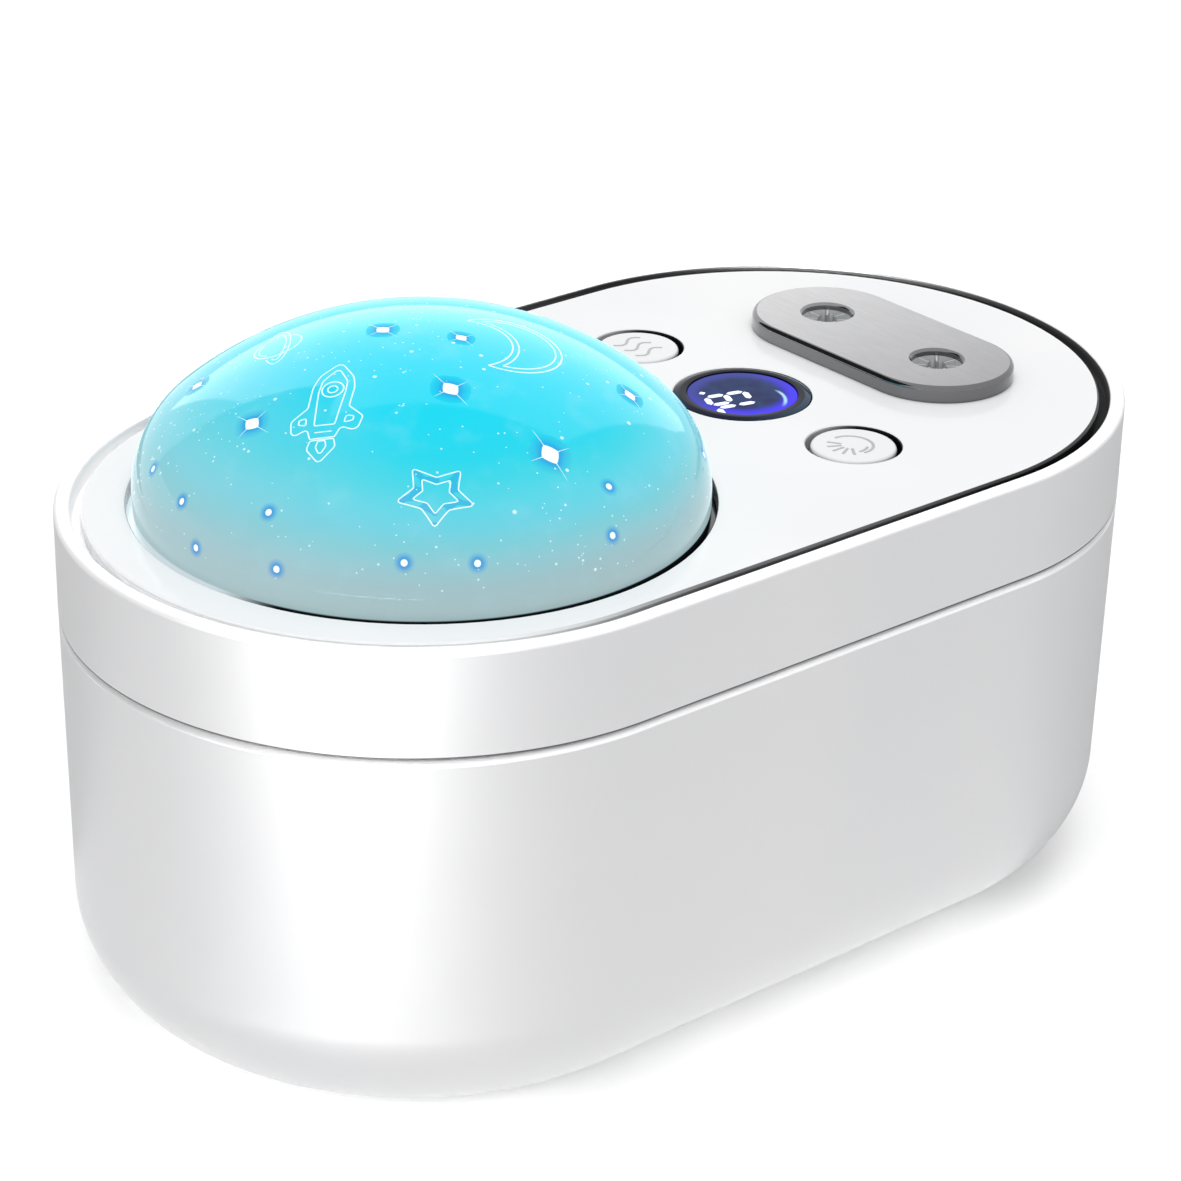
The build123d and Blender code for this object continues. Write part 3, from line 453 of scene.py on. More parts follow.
@dataclass(frozen=True)
class BezelPlastic(MouldedPlastic):
    """The bezel's plastic: black beside the glass, with a painted blue-grey reflection on the sloping rim
    outside it.
    """

    centre: Point = (0.0, 0.0)
    bevel_from: float = 9.3
    bevel_fade: float = 0.15
    bevel_sheen: Colour = (0.03, 0.06, 0.1)
    shaded: Colour = (0.006, 0.01, 0.03)
    lit_bearing: float = -20.0
    shaded_until: float = -0.5
    lit_from: float = 0.7

    def marked(self, nodes: Nodes, colour: Value) -> Value:
        """Painted reflection: bluer outside a radius, most of all on the lit side."""
        x, y, _ = nodes.axes()
        across = x - self.centre[0]
        along = y - self.centre[1]
        radius = distance(across, along)
        side = towards(across, along, self.lit_bearing) / radius
        # painted reflection, brightest towards the lit bearing
        outer = nodes.mix(side.between(self.shaded_until, self.lit_from), self.shaded, self.bevel_sheen)
        return nodes.mix(radius.between(self.bevel_from, self.bevel_from + self.bevel_fade), colour, outer)


@dataclass(frozen=True)
class SoftRubber(Finish):
    """Rubber or silicone: matt, a little dusty, with a fine tooth."""

    colour: Colour = (0.1, 0.1, 0.11)
    dust: Colour = (0.2, 0.2, 0.21)
    roughness: float = 0.75
    tooth_size: float = 0.3
    tooth_depth: float = 0.012
    tooth_gloss: float = 0.12
    dust_size: float = 5.0

    def surface(self, nodes: Nodes) -> Value:
        """Rubber with patches of dust."""
        tooth = nodes.noise(self.tooth_size, detail=4.0)
        dust = nodes.noise(self.dust_size, detail=5.0).between(0.45, 0.75)
        return nodes.principled({
            "Base Color": nodes.mix(dust, self.colour, self.dust),
            "Roughness": self.roughness + tooth.swing(self.tooth_gloss),
            "Normal": nodes.bump(tooth, self.tooth_depth),
        })


@dataclass(frozen=True)
class WorkedMetal(Finish):
    """Metal with a drawn or brushed surface: fine lines along X and patches of other gloss."""

    colour: Colour = (0.62, 0.62, 0.64)
    roughness: float = 0.28
    line_size: float = 0.18
    line_depth: float = 0.002
    line_stretch: float = 18.0
    line_gloss: float = 0.1
    line_tone: float = 0.88
    patch_size: float = 6.0
    patch_gloss: float = 0.08

    def surface(self, nodes: Nodes) -> Value:
        """Metal with lines in its normal, roughness and tone."""
        lines = nodes.noise(self.line_size, nodes.moved(stretch=(self.line_stretch, 1.0, 1.0)), detail=2.0)
        patches = nodes.noise(self.patch_size, detail=3.0)
        darker = scaled(self.colour, self.line_tone)
        return nodes.principled({
            "Base Color": nodes.mix(lines.between(0.3, 0.7), self.colour, darker),
            "Metallic": 1.0,
            "Roughness": self.roughness + lines.swing(self.line_gloss) + patches.swing(self.patch_gloss),
            "Normal": nodes.bump(lines, self.line_depth),
        })


@dataclass(frozen=True)
class CircuitBoard(Finish):
    """Green solder mask over copper tracks, with tinned pads."""

    mask: Colour = (0.015, 0.11, 0.05)
    track: Colour = (0.03, 0.2, 0.09)
    pad: Colour = (0.62, 0.6, 0.52)
    pad_pitch: float = 2.4
    track_pitch: float = 3.84
    relief: float = 0.03

    def surface(self, nodes: Nodes) -> Value:
        """A board with stepped tracks and round pads."""
        place = nodes.place()
        tracks = 1 - nodes.cells(self.track_pitch, 0.6, place, "DISTANCE_TO_EDGE").between(0.05, 0.09)
        pads = 1 - nodes.cells(self.pad_pitch, 0.35, place).between(0.12, 0.15)
        colour = nodes.mix(pads, nodes.mix(tracks, self.mask, self.track), self.pad)
        grain = nodes.noise(0.4)
        return nodes.principled({
            "Base Color": colour,
            "Metallic": pads * 0.9,
            "Roughness": 0.38 - 0.1 * pads + 0.08 * grain,
            "Normal": nodes.bump(tracks + pads, self.relief),
        })


@dataclass(frozen=True)
class LedPhosphor(Finish):
    """A surface-mounted lamp: a white frame round a yellow phosphor, here taken over the whole chip."""

    phosphor: Colour = (0.95, 0.72, 0.2)
    frame: Colour = (0.9, 0.9, 0.86)
    frame_height: float = 54.6
    frame_fade: float = 0.3

    def surface(self, nodes: Nodes) -> Value:
        """Yellow on the top face, white on the sides."""
        height = nodes.part(nodes.place(), "Z")
        top = height.between((self.frame_height - self.frame_fade) * MM, self.frame_height * MM)
        grain = nodes.noise(0.25)
        return nodes.principled({
            "Base Color": nodes.mix(top * grain.between(0.2, 0.5), self.frame, self.phosphor),
            "Roughness": 0.5 + 0.2 * grain,
            "Normal": nodes.bump(grain, 0.01),
        })


@dataclass(frozen=True)
class CottonWick(Finish):
    """Pressed cotton: fibres that run along the wick, a little fuzzy."""

    colour: Colour = (0.86, 0.84, 0.78)
    shade: Colour = (0.66, 0.63, 0.56)
    fibre_size: float = 0.35
    fibre_stretch: float = 9.0
    clump_size: float = 2.5
    fuzz: float = 0.3

    def surface(self, nodes: Nodes) -> Value:
        """Cotton with fibres in its tone and normal."""
        fibres = nodes.noise(self.fibre_size, nodes.moved(stretch=(1.0, 1.0, self.fibre_stretch)), detail=5.0)
        clumps = nodes.noise(self.clump_size, detail=3.0)
        pale = (fibres * 0.7 + clumps * 0.3).between(0.35, 0.65)
        return nodes.principled({
            "Base Color": nodes.mix(pale, self.shade, self.colour),
            "Roughness": 0.9,
            "Normal": nodes.bump(fibres, 0.12),
            "Sheen Weight": self.fuzz,
        })


@dataclass(frozen=True)
class ClearPlastic(Finish):
    """Clear or lightly tinted plastic with ripples in its surface."""

    colour: Colour = (0.85, 0.95, 1.0)
    roughness: float = 0.06
    ripple_size: float = 3.0
    ripple_depth: float = 0.05
    haze_size: float = 9.0
    haze_tone: float = 0.9
    refraction: float = 1.49

    def surface(self, nodes: Nodes) -> Value:
        """Clear plastic, bent by long ripples."""
        ripples = nodes.noise(self.ripple_size, detail=1.0)
        haze = nodes.noise(self.haze_size)
        return nodes.principled({
            "Base Color": nodes.mix(haze, self.colour, scaled(self.colour, self.haze_tone)),
            "Roughness": self.roughness + 0.06 * haze,
            "Transmission Weight": 1.0,
            "IOR": self.refraction,
            "Normal": nodes.bump(ripples, self.ripple_depth),
        })


@dataclass(frozen=True)
class PerforatedBrass(Finish):
    """A mist maker's disc: brass with a silvery ceramic ring and a field of tiny holes in the middle."""

    centre: Point
    hole_field: float = 2.1
    ceramic_edge: float = 4.0
    field_fade: float = 0.3
    edge_fade: float = 0.2
    hole_pitch: float = 0.35
    brass: Colour = (0.72, 0.52, 0.22)
    tarnish: float = 0.85
    ceramic: Colour = (0.6, 0.6, 0.58)
    hole: Colour = (0.02, 0.015, 0.01)

    def surface(self, nodes: Nodes) -> Value:
        """Brass inside, ceramic outside, dark pin holes at the centre."""
        place = nodes.moved((*self.centre, 0.0))
        flat = nodes.vector("MULTIPLY", {0: place, 1: (1.0, 1.0, 0.0)})
        radius = nodes.vector("LENGTH", {0: flat}, "Value")
        dots = 1 - nodes.cells(self.hole_pitch, 0.15, flat).between(0.22, 0.34)
        holes = dots * (1 - radius.between(self.hole_field * MM, (self.hole_field + self.field_fade) * MM))
        ring = radius.between(self.ceramic_edge * MM, (self.ceramic_edge + self.edge_fade) * MM)
        grain = nodes.noise(0.5)
        brass = nodes.mix(grain, self.brass, scaled(self.brass, self.tarnish))
        return nodes.principled({
            "Base Color": nodes.mix(holes, nodes.mix(ring, brass, self.ceramic), self.hole),
            "Metallic": 1 - 0.85 * ring,
            "Roughness": 0.3 + 0.25 * ring + 0.1 * grain,
            "Normal": nodes.bump(holes, -0.05),
        })


@dataclass(frozen=True)
class GrooveStrip(Finish):
    """The soft strip at the bottom of the groove round the panel, coloured with the groove's painted shade.
    """

    dust: Colour = (0.3, 0.3, 0.3)
    dustiness: float = 0.06

    def surface(self, nodes: Nodes) -> Value:
        """Rubber in the groove's painted shade, with a fine tooth and a little dust."""
        x, _, _ = nodes.axes()
        tooth = nodes.noise(0.4, detail=4.0)
        return nodes.principled({
            # painted shade: the groove's shade tone, with real dust over it
            "Base Color": nodes.mix(self.dustiness * tooth, GROOVE_SHADE.tone(nodes, x), self.dust),
            "Roughness": 0.6 + 0.15 * tooth,
            "Specular IOR Level": 0.15,
            "Normal": nodes.bump(tooth, 0.01),
        })


@dataclass(frozen=True)
class DomeGlow(Finish):
    """Frosted plastic lit from inside: grey-green at its foot, clear cyan above, with lit and deeper places.
    One flank has a painted sheen, and below the panel its foot is painted shade on one side and painted light
    on the other.

    The attributes halo and spark of a mesh turn the glow to deep blue and to white.
    """

    foot: float = 77.0
    crown: float = 97.0
    glow: float = 0.63
    body: float = 0.36
    dark_below: float = 75.7
    centre: Point = (-34.5, 0.0)
    pale_bearing: float = 165.0
    pale_from: float = 31.0
    pale_at: float = 37.0
    painted_foot_light: Colour = (0.42, 0.48, 0.5)
    painted_foot_shade: Colour = (0.01, 0.016, 0.02)
    foot_fade: float = 0.25
    sheen_from: float = 8.0
    sheen_at: float = 40.0
    sheen_share: float = 0.3
    # the colour of the painted sheen on one flank
    mist: Colour = (0.5, 0.7, 0.74)
    cloud_size: float = 16.0
    cloud_share: float = 0.1
    milk_size: float = 5.0
    milk_share: float = 0.12
    milk: Colour = (0.5, 0.86, 0.95)
    spark_light: Colour = (0.8, 0.86, 0.88)
    roughness: float = 0.05
    patch_size: float = 12.0
    patch_gloss: float = 0.04
    frost_size: float = 0.6
    frost_depth: float = 0.0006
    halo_colour: Colour = (0.01, 0.3, 0.8)
    spark_colour: Colour = (0.86, 0.97, 1.0)
    stops: tuple[tuple[float, Colour], ...] = (
        (0.0, (0.43, 0.585, 0.61)),
        (0.17, (0.38, 0.585, 0.625)),
        (0.30, (0.31, 0.63, 0.70)),
        (0.40, (0.22, 0.655, 0.735)),
        (0.51, (0.155, 0.68, 0.81)),
        (0.60, (0.11, 0.70, 0.83)),
        (0.70, (0.05, 0.70, 0.83)),
        (0.80, (0.015, 0.70, 0.87)),
        (1.0, (0.0, 0.715, 0.91)),
    )

    def surface(self, nodes: Nodes) -> Value:
        """Glow by height, clouded a little, with the attributes on top, a painted sheen on one flank and
        painted light and shade on the foot.
        """
        x, y, height = nodes.axes()
        side = towards(x - self.centre[0], y - self.centre[1], self.pale_bearing)
        clouds = nodes.noise(self.cloud_size, detail=4.0)
        share = (height - self.foot) / (self.crown - self.foot) + clouds.swing(self.cloud_share)
        base = nodes.make("ShaderNodeValToRGB", {"stops": self.stops}, {"Fac": share.clamped()})
        milk = nodes.noise(self.milk_size, detail=5.0).between(0.5, 0.8)
        # painted sheen: one flank paled towards a pale colour
        flank_sheen = side.between(self.sheen_from, self.sheen_at) * self.sheen_share
        sheened = nodes.mix(flank_sheen, nodes.mix(milk * self.milk_share, base, self.milk), self.mist)
        halo = nodes.make("ShaderNodeAttribute", {"attribute_name": HALO}, output="Fac")
        spark = nodes.make("ShaderNodeAttribute", {"attribute_name": SPARK}, output="Fac")
        tinted = nodes.mix(halo, sheened, self.halo_colour)
        lit = nodes.mix(spark, tinted, self.spark_colour)
        emitted = nodes.mix(1.0, lit, (self.glow,) * 3, "MULTIPLY")
        bright = nodes.mix(spark, emitted, self.spark_light)
        # painted shade and light on the foot below the panel: dark on one side, pale and glowing on the other
        shown = height.between(self.dark_below - self.foot_fade, self.dark_below)
        pale = side.between(self.pale_from, self.pale_at)
        foot = nodes.mix(pale, self.painted_foot_shade, self.painted_foot_light)
        painted_foot_glow = nodes.mix(pale, (0.0, 0.0, 0.0), self.painted_foot_light)
        return nodes.principled({
            "Base Color": nodes.mix(shown, foot, nodes.mix(1.0, lit, (self.body,) * 3, "MULTIPLY")),
            "Roughness": self.roughness + self.patch_gloss * nodes.noise(self.patch_size),
            "Specular IOR Level": 0.15,
            "Emission Color": nodes.mix(shown, painted_foot_glow, bright),
            "Emission Strength": 1.0,
            "Normal": nodes.bump(nodes.noise(self.frost_size), self.frost_depth),
        })


@dataclass(frozen=True)
class PrintedFilm(Finish):
    """The blue film inside the dome, with its dots of clear print."""

    blue: Colour = (0.02, 0.42, 0.72)
    clear: Colour = (0.75, 0.95, 1.0)
    dot_pitch: float = 1000 / 180
    glow: float = 0.35

    def surface(self, nodes: Nodes) -> Value:
        """Blue film with clear dots."""
        dots = 1 - nodes.cells(self.dot_pitch, 1.0, nodes.place()).between(0.08, 0.14)
        flow = nodes.noise(15.0)
        colour = nodes.mix(dots, nodes.mix(flow, self.blue, scaled(self.blue, 0.7)), self.clear)
        return nodes.principled({
            "Base Color": colour,
            "Roughness": 0.3 + 0.1 * flow,
            "Emission Color": nodes.mix(1.0, colour, (self.glow,) * 3, "MULTIPLY"),
            "Emission Strength": 1.0,
        })


@dataclass(frozen=True)
class DisplayGlass(Finish):
    """Dark blue glass with a lit violet ring near its edge and a painted reflection, a pale glint, across it.
    """

    centre: Point
    ring_inner: float = 4.9
    ring_outer: float = 7.6
    ring_bend: float = 1.4
    streak_start: Point = (-25.0, 5.4)
    streak_end: Point = (-74.0, 7.3)
    streak_outside: float = 12.0
    streak_inside: float = 8.0
    glint_share: float = 0.9
    middle: Colour = (0.002, 0.007, 0.06)
    rise: Colour = (0.008, 0.03, 0.12)
    near: Colour = (0.05, 0.025, 0.92)
    far: Colour = (0.035, 0.045, 0.3)
    glint: Colour = (0.5, 0.85, 1.0)
    glass: Colour = (0.006, 0.01, 0.03)
    front: float = -85.0

    def surface(self, nodes: Nodes) -> Value:
        """Glass whose light goes by the distance and the angle from its centre, with a painted reflection
        laid into the ring.
        """
        split = nodes.part(nodes.moved((*self.centre, 0.0)), "X")
        x = split / MM
        y = split.output("Y") / MM
        radius = distance(x, y)
        angle = y.math("ARCTAN2", x) * math.degrees(1)
        ring = radius.between(self.ring_inner, self.ring_outer) ** self.ring_bend
        facing = ((angle - self.front) * math.radians(1)).math("COSINE") * 0.5 + 0.5
        ring_colour = nodes.mix(facing.between(0.1, 0.9), self.far, self.near)
        # painted reflection: a thin pale band along a path across the ring
        first_angle, first_radius = self.streak_start
        last_angle, last_radius = self.streak_end
        slope = (last_radius - first_radius) / (last_angle - first_angle)
        path = first_radius + slope * (angle - first_angle)
        thin = 1 - (radius - path).math("ABSOLUTE").between(0.05, 0.45)
        begun = angle.between(last_angle - self.streak_inside, last_angle + self.streak_outside)
        over = angle.between(first_angle - self.streak_outside, first_angle + self.streak_inside)
        drift = nodes.noise(3.0, detail=2.0)
        glow = nodes.mix(ring, nodes.mix(drift.between(0.3, 0.7), self.middle, self.rise), ring_colour)
        lit = nodes.mix(thin * (begun * (1 - over)) * self.glint_share, glow, self.glint)
        return nodes.principled({
            "Base Color": self.glass,
            "Roughness": 0.04 + 0.03 * drift,
            "Specular IOR Level": 0.05,
            "Emission Color": lit,
            "Emission Strength": 1.0,
        })


@dataclass(frozen=True)
class LitSign(Finish):
    """A light-emitting figure under the glass."""

    colour: Colour = (0.85, 0.93, 1.0)
    edge: Colour = (0.35, 0.5, 1.0)
    unlit: Colour = (0.3, 0.35, 0.45)
    evenness: float = 0.75

    def surface(self, nodes: Nodes) -> Value:
        """White light with a slightly uneven tone."""
        spread = nodes.noise(0.9, detail=1.0).between(0.25, 0.6)
        tone = nodes.mix(spread, self.edge, self.colour)
        return nodes.principled({
            "Base Color": self.unlit,
            "Roughness": 0.3 + 0.1 * spread,
            "Emission Color": nodes.mix(self.evenness, tone, self.colour),
            "Emission Strength": 1.0,
        })


@dataclass(frozen=True)
class PlatedCover(Finish):
    """Satin plate with a polished rounded edge: the gloss follows how level the surface is; painted shade
    darkens the polished edge and, towards -Y, the whole plate.
    """

    colour: Colour = (0.76, 0.76, 0.77)
    far_shade: Colour = (0.4, 0.4, 0.41)
    polished_edge_shade: Colour = (0.31, 0.31, 0.32)
    far_edge_shade: Colour = (0.17, 0.17, 0.175)
    shade_span: tuple[float, float] = (26.0, -26.0)
    top_roughness: float = 0.3
    edge_roughness: float = 0.08
    line_size: float = 0.16
    line_stretch: float = 26.0
    line_gloss: float = 0.12
    line_tone: float = 0.12
    line_colour: Colour = (0.2, 0.2, 0.2)
    line_depth: float = 0.0015
    patch_size: float = 8.0
    patch_gloss: float = 0.08

    def surface(self, nodes: Nodes) -> Value:
        """Brushed lines on the level top, polish on the rest, with painted shade on the edge and towards -Y.
        """
        normal = nodes.make("ShaderNodeNewGeometry", output="Normal")
        level = nodes.part(normal, "Z").between(0.97, 0.999)
        lines = nodes.noise(self.line_size, nodes.moved(stretch=(1.0, self.line_stretch, 1.0)), detail=2.0)
        patches = nodes.noise(self.patch_size, detail=2.0)
        satin = self.top_roughness + lines.swing(self.line_gloss) + patches.swing(self.patch_gloss)
        # painted shade: darker towards -Y, on the top and on the polished edge
        start, end = self.shade_span
        drift = ((nodes.axes()[1] - start) / (end - start)).clamped()
        top = nodes.mix(drift, self.colour, self.far_shade)
        brushed = nodes.mix(self.line_tone * lines.between(0.3, 0.7), top, self.line_colour)
        return nodes.principled({
            "Base Color": nodes.mix(level, nodes.mix(drift, self.polished_edge_shade, self.far_edge_shade), brushed),
            "Metallic": 1.0,
            "Roughness": self.edge_roughness + level * (satin - self.edge_roughness),
            "Normal": nodes.bump(lines * level, self.line_depth),
        })


WHITE_BODY = MouldedPlastic("white_body", colour=(0.81, 0.81, 0.815), roughness=0.4, unevenness=0.015)
WHITE_LID = BandPlastic("white_lid", colour=(0.81, 0.81, 0.815), roughness=0.4, unevenness=0.015)
BLACK_MATT = MouldedPlastic("black_matt", colour=(0.025, 0.025, 0.03), roughness=0.55, grain_depth=0.006)
SIGN_GREY = MouldedPlastic("sign_grey", colour=(0.5, 0.5, 0.51), roughness=0.3)
GROOVE_STRIP = GrooveStrip("groove_strip")
DOME_GLOW = DomeGlow("dome_glow")
LIT_SIGN = LitSign("lit_sign")
PLATED_COVER = PlatedCover("plated_cover")

PLAIN_FINISHES: dict[str, Finish] = {
    "tank_plastic": WHITE_BODY,
    "lid_plastic": WHITE_LID,
    "panel_plastic": PanelPlastic(
        "white_panel", colour=(0.9, 0.9, 0.905), roughness=0.16, grain_depth=0.001, shine=0.25),
    "inner_plastic": MouldedPlastic(
        "inner_white", colour=(0.74, 0.75, 0.76), roughness=0.48, grain_depth=0.006),
    "feet_rubber": SoftRubber("feet_rubber", colour=(0.1, 0.1, 0.105), dust=(0.17, 0.17, 0.175)),
    "seal_silicone": SoftRubber(
        "clear_silicone", colour=(0.6, 0.62, 0.63), dust=(0.68, 0.69, 0.7), roughness=0.5),
    "star_film": PrintedFilm("film_blue"),
    "black_plastic": BLACK_MATT,
    "reflector_white": MouldedPlastic("reflector_white", colour=(0.9, 0.9, 0.88), roughness=0.22),
    "board_green": CircuitBoard("board"),
    "led_chip": LedPhosphor("led_chip"),
    "screw_steel": WorkedMetal("screw_steel", colour=(0.6, 0.6, 0.62), roughness=0.25),
    "motor_steel": WorkedMetal("motor_steel", colour=(0.5, 0.51, 0.53), roughness=0.34),
    "ripple_clear": ClearPlastic("clear_ripple"),
    "button_plastic": MouldedPlastic("button_white", colour=(0.84, 0.84, 0.85), roughness=0.34),
    "display_black": MouldedPlastic(
        "black_gloss", colour=(0.012, 0.012, 0.018), roughness=0.12, grain_depth=0.0005),
    "nozzle_dark": MouldedPlastic("nozzle_grey", colour=(0.58, 0.59, 0.6), roughness=0.14),
    "wick_cotton": CottonWick("cotton"),
    "usb_steel": WorkedMetal("socket_steel", colour=(0.66, 0.66, 0.68), roughness=0.22),
}


# ---------------------------------------------------------------- geometry trees


class GeometryTree:
    """A Geometry Nodes tree with named inputs, baked on one object at a time."""

    def __init__(self, name: str, inputs: dict[str, str]) -> None:
        """Open the tree.

        Args:
            name: The tree's name.
            inputs: Its inputs and their kinds, such as Float, Int or Object.
        """
        self.tree = bpy.data.node_groups.new(name, "GeometryNodeTree")
        sockets = self.tree.interface
        sockets.new_socket("Geometry", in_out="INPUT", socket_type="NodeSocketGeometry")
        for input_name, kind in (*inputs.items(), ("Material", "Material")):
            sockets.new_socket(input_name, in_out="INPUT", socket_type=f"NodeSocket{kind}")
        sockets.new_socket("Geometry", in_out="OUTPUT", socket_type="NodeSocketGeometry")
        self.nodes = Nodes(self.tree)
        self.geometry = self.nodes.make("NodeGroupInput", output="Geometry")

    def input(self, name: str) -> Value:
        """One of the named inputs."""
        return self.geometry.output(name)

    def geometry_of(self, name: str) -> Value:
        """The geometry of the object that is given as a named input."""
        return self.nodes.make("GeometryNodeObjectInfo", {}, {"Object": self.input(name)}, output="Geometry")

    def dropped(self, surface: Value) -> Value:
        """Where each point of the source meets a surface straight below it."""
        down = {"Target Geometry": surface, "Ray Direction": (0.0, 0.0, -1.0), "Ray Length": 1.0}
        return self.nodes.make("GeometryNodeRaycast", {}, down, output="Hit Position")

    def pushed(self, geometry: Value, place: Value, normal: Value, amount: Value) -> Value:
        """Geometry set on a place and then moved along a normal."""
        step = self.nodes.vector("SCALE", {0: normal, "Scale": amount})
        seat = self.nodes.vector("ADD", {0: place, 1: step})
        return self.nodes.make("GeometryNodeSetPosition", {}, {"Geometry": geometry, "Position": seat})

    def end(self, geometry: Value) -> None:
        """Close the tree with real geometry in the finish's material."""
        real = self.nodes.make("GeometryNodeRealizeInstances", {}, {"Geometry": geometry})
        dressed = {"Geometry": real, "Material": self.input("Material")}
        painted = self.nodes.make("GeometryNodeSetMaterial", {}, dressed)
        self.nodes.make("NodeGroupOutput", {}, {"Geometry": painted})

    def run(self, source: Piece, finish: Finish, inputs: dict[str, object]) -> None:
        """Bake the tree on an object, which then has a plain mesh.

        Args:
            source: The object whose mesh goes in.
            finish: The finish of what comes out.
            inputs: What each named input gets.
        """
        modifier = source.modifiers.new(self.tree.name, "NODES")
        modifier.node_group = self.tree
        given = {**inputs, "Material": finish.material()}
        for item in self.tree.interface.items_tree:
            if item.in_out == "INPUT" and item.name in given:
                modifier[item.identifier] = given[item.name]
        bake(source)


class TurnedTree(GeometryTree):
    """Carries a profile round a stadium, or round a circle where the spacing is 0.

    The source mesh holds the profile's points in order, as (distance from the arc's centre, 0, height).
    """

    def __init__(self) -> None:
        """Build the tree: a grid of path steps by profile points, bent round the stadium."""
        super().__init__("turned_shell", {"Spacing": "Float", "Steps": "Int"})
        nodes = self.nodes
        source = {"Geometry": self.geometry}
        rows = nodes.make("GeometryNodeAttributeDomainSize", {"component": "MESH"}, source)
        steps = self.input("Steps")
        grid = nodes.make("GeometryNodeMeshGrid", {}, {"Vertices X": steps + 1, "Vertices Y": rows})
        index = nodes.make("GeometryNodeInputIndex")
        row = index % rows
        step = (index / rows).math("FLOOR") % steps
        half = steps / 2
        side = (step / half).math("FLOOR")
        share = (step - side * half) / (half - 1)
        angle = (share + side) * math.pi - math.pi / 2
        place = nodes.make("GeometryNodeInputPosition")
        profile = {"Geometry": self.geometry, "Value": place, "Index": row}
        by_point = {"data_type": "FLOAT_VECTOR", "domain": "POINT"}
        reach = nodes.part(nodes.make("GeometryNodeSampleIndex", by_point, profile), "X")
        x = (0.5 - side) * self.input("Spacing") + angle.math("COSINE") * reach
        values = {"X": x, "Y": angle.math("SINE") * reach, "Z": reach.output("Z")}
        bent = nodes.make("ShaderNodeCombineXYZ", {}, values)
        moved = nodes.make("GeometryNodeSetPosition", {}, {"Geometry": grid, "Position": bent})
        merged = {"Geometry": moved, "Distance": MERGE_DISTANCE}
        self.end(nodes.make("GeometryNodeMergeByDistance", {}, merged))


class RidgeTree(GeometryTree):
    """Lays rounded ridges along drawn lines, dropped straight down onto a surface and half sunk in it."""

    def __init__(self) -> None:
        """Build the tree: lines to curves, dropped by raycast, with a round section."""
        super().__init__("drawn_ridges", {
            "Surface": "Object", "Radius": "Float", "Sunk": "Float", "Step": "Float", "Sides": "Int",
            "Spark": "Float",
        })
        nodes = self.nodes
        curves = nodes.make("GeometryNodeMeshToCurve", {}, {"Mesh": self.geometry})
        by_step = {"Curve": curves, "Length": self.input("Step")}
        fine = nodes.make("GeometryNodeResampleCurve", {"mode": "LENGTH"}, by_step)
        hit = self.dropped(self.geometry_of("Surface"))
        laid = self.pushed(fine, hit, hit.output("Hit Normal"), 0 - self.input("Sunk"))
        round_section = {"Resolution": self.input("Sides"), "Radius": self.input("Radius")}
        ring = nodes.make("GeometryNodeCurvePrimitiveCircle", {}, round_section)
        section = {"Curve": laid, "Profile Curve": ring, "Fill Caps": True}
        solid = nodes.make("GeometryNodeCurveToMesh", {}, section)
        by_point = {"data_type": "FLOAT", "domain": "POINT"}
        lit = {"Geometry": solid, "Name": SPARK, "Value": self.input("Spark")}
        self.end(nodes.make("GeometryNodeStoreNamedAttribute", by_point, lit))


class StampTree(GeometryTree):
    """Sets upright copies of one shape at the points of the source mesh."""

    def __init__(self) -> None:
        """Build the tree."""
        super().__init__("set_copies", {"Shape": "Object"})
        nodes = self.nodes
        points = nodes.make("GeometryNodeMeshToPoints", {"mode": "VERTICES"}, {"Mesh": self.geometry})
        copies = {"Points": points, "Instance": self.geometry_of("Shape")}
        self.end(nodes.make("GeometryNodeInstanceOnPoints", {}, copies))


class StarTree(GeometryTree):
    """Sets copies of one shape on a surface at given places and drapes them over its curve.

    The source mesh holds the places, above the surface, each with a "size" attribute.
    """

    def __init__(self) -> None:
        """Build the tree: points dropped onto the surface, shapes set on them, then draped."""
        super().__init__("draped_stars", {"Surface": "Object", "Shape": "Object"})
        nodes = self.nodes
        surface = self.geometry_of("Surface")
        dropped = {"Mesh": self.geometry, "Position": self.dropped(surface)}
        seats = nodes.make("GeometryNodeMeshToPoints", {"mode": "VERTICES"}, dropped)
        normal = sampled_normal(nodes, surface, nodes.make("GeometryNodeInputPosition"))
        turn = nodes.make("FunctionNodeAlignRotationToVector", {"axis": "Z"}, {"Vector": normal})
        size = nodes.make("GeometryNodeInputNamedAttribute", {"data_type": "FLOAT"}, {"Name": SIZE})
        shape = self.geometry_of("Shape")
        self.set_out(surface, {"Points": seats, "Instance": shape, "Rotation": turn, "Scale": size})

    def set_out(self, surface: Value, instances: dict[str, object]) -> None:
        """Put the instances in place, drape them over the surface and close the tree.

        Args:
            surface: The surface's geometry.
            instances: The inputs of the Instance on Points node.
        """
        nodes = self.nodes
        copies = nodes.make("GeometryNodeInstanceOnPoints", {}, instances)
        real = nodes.make("GeometryNodeRealizeInstances", {}, {"Geometry": copies})
        place = nodes.make("GeometryNodeInputPosition")
        foot = nodes.make("GeometryNodeProximity", {"target_element": "FACES"}, {"Geometry": surface})
        lift = nodes.make("GeometryNodeInputNamedAttribute", {"data_type": "FLOAT"}, {"Name": LIFT})
        self.end(self.pushed(real, foot, sampled_normal(nodes, surface, place), lift))


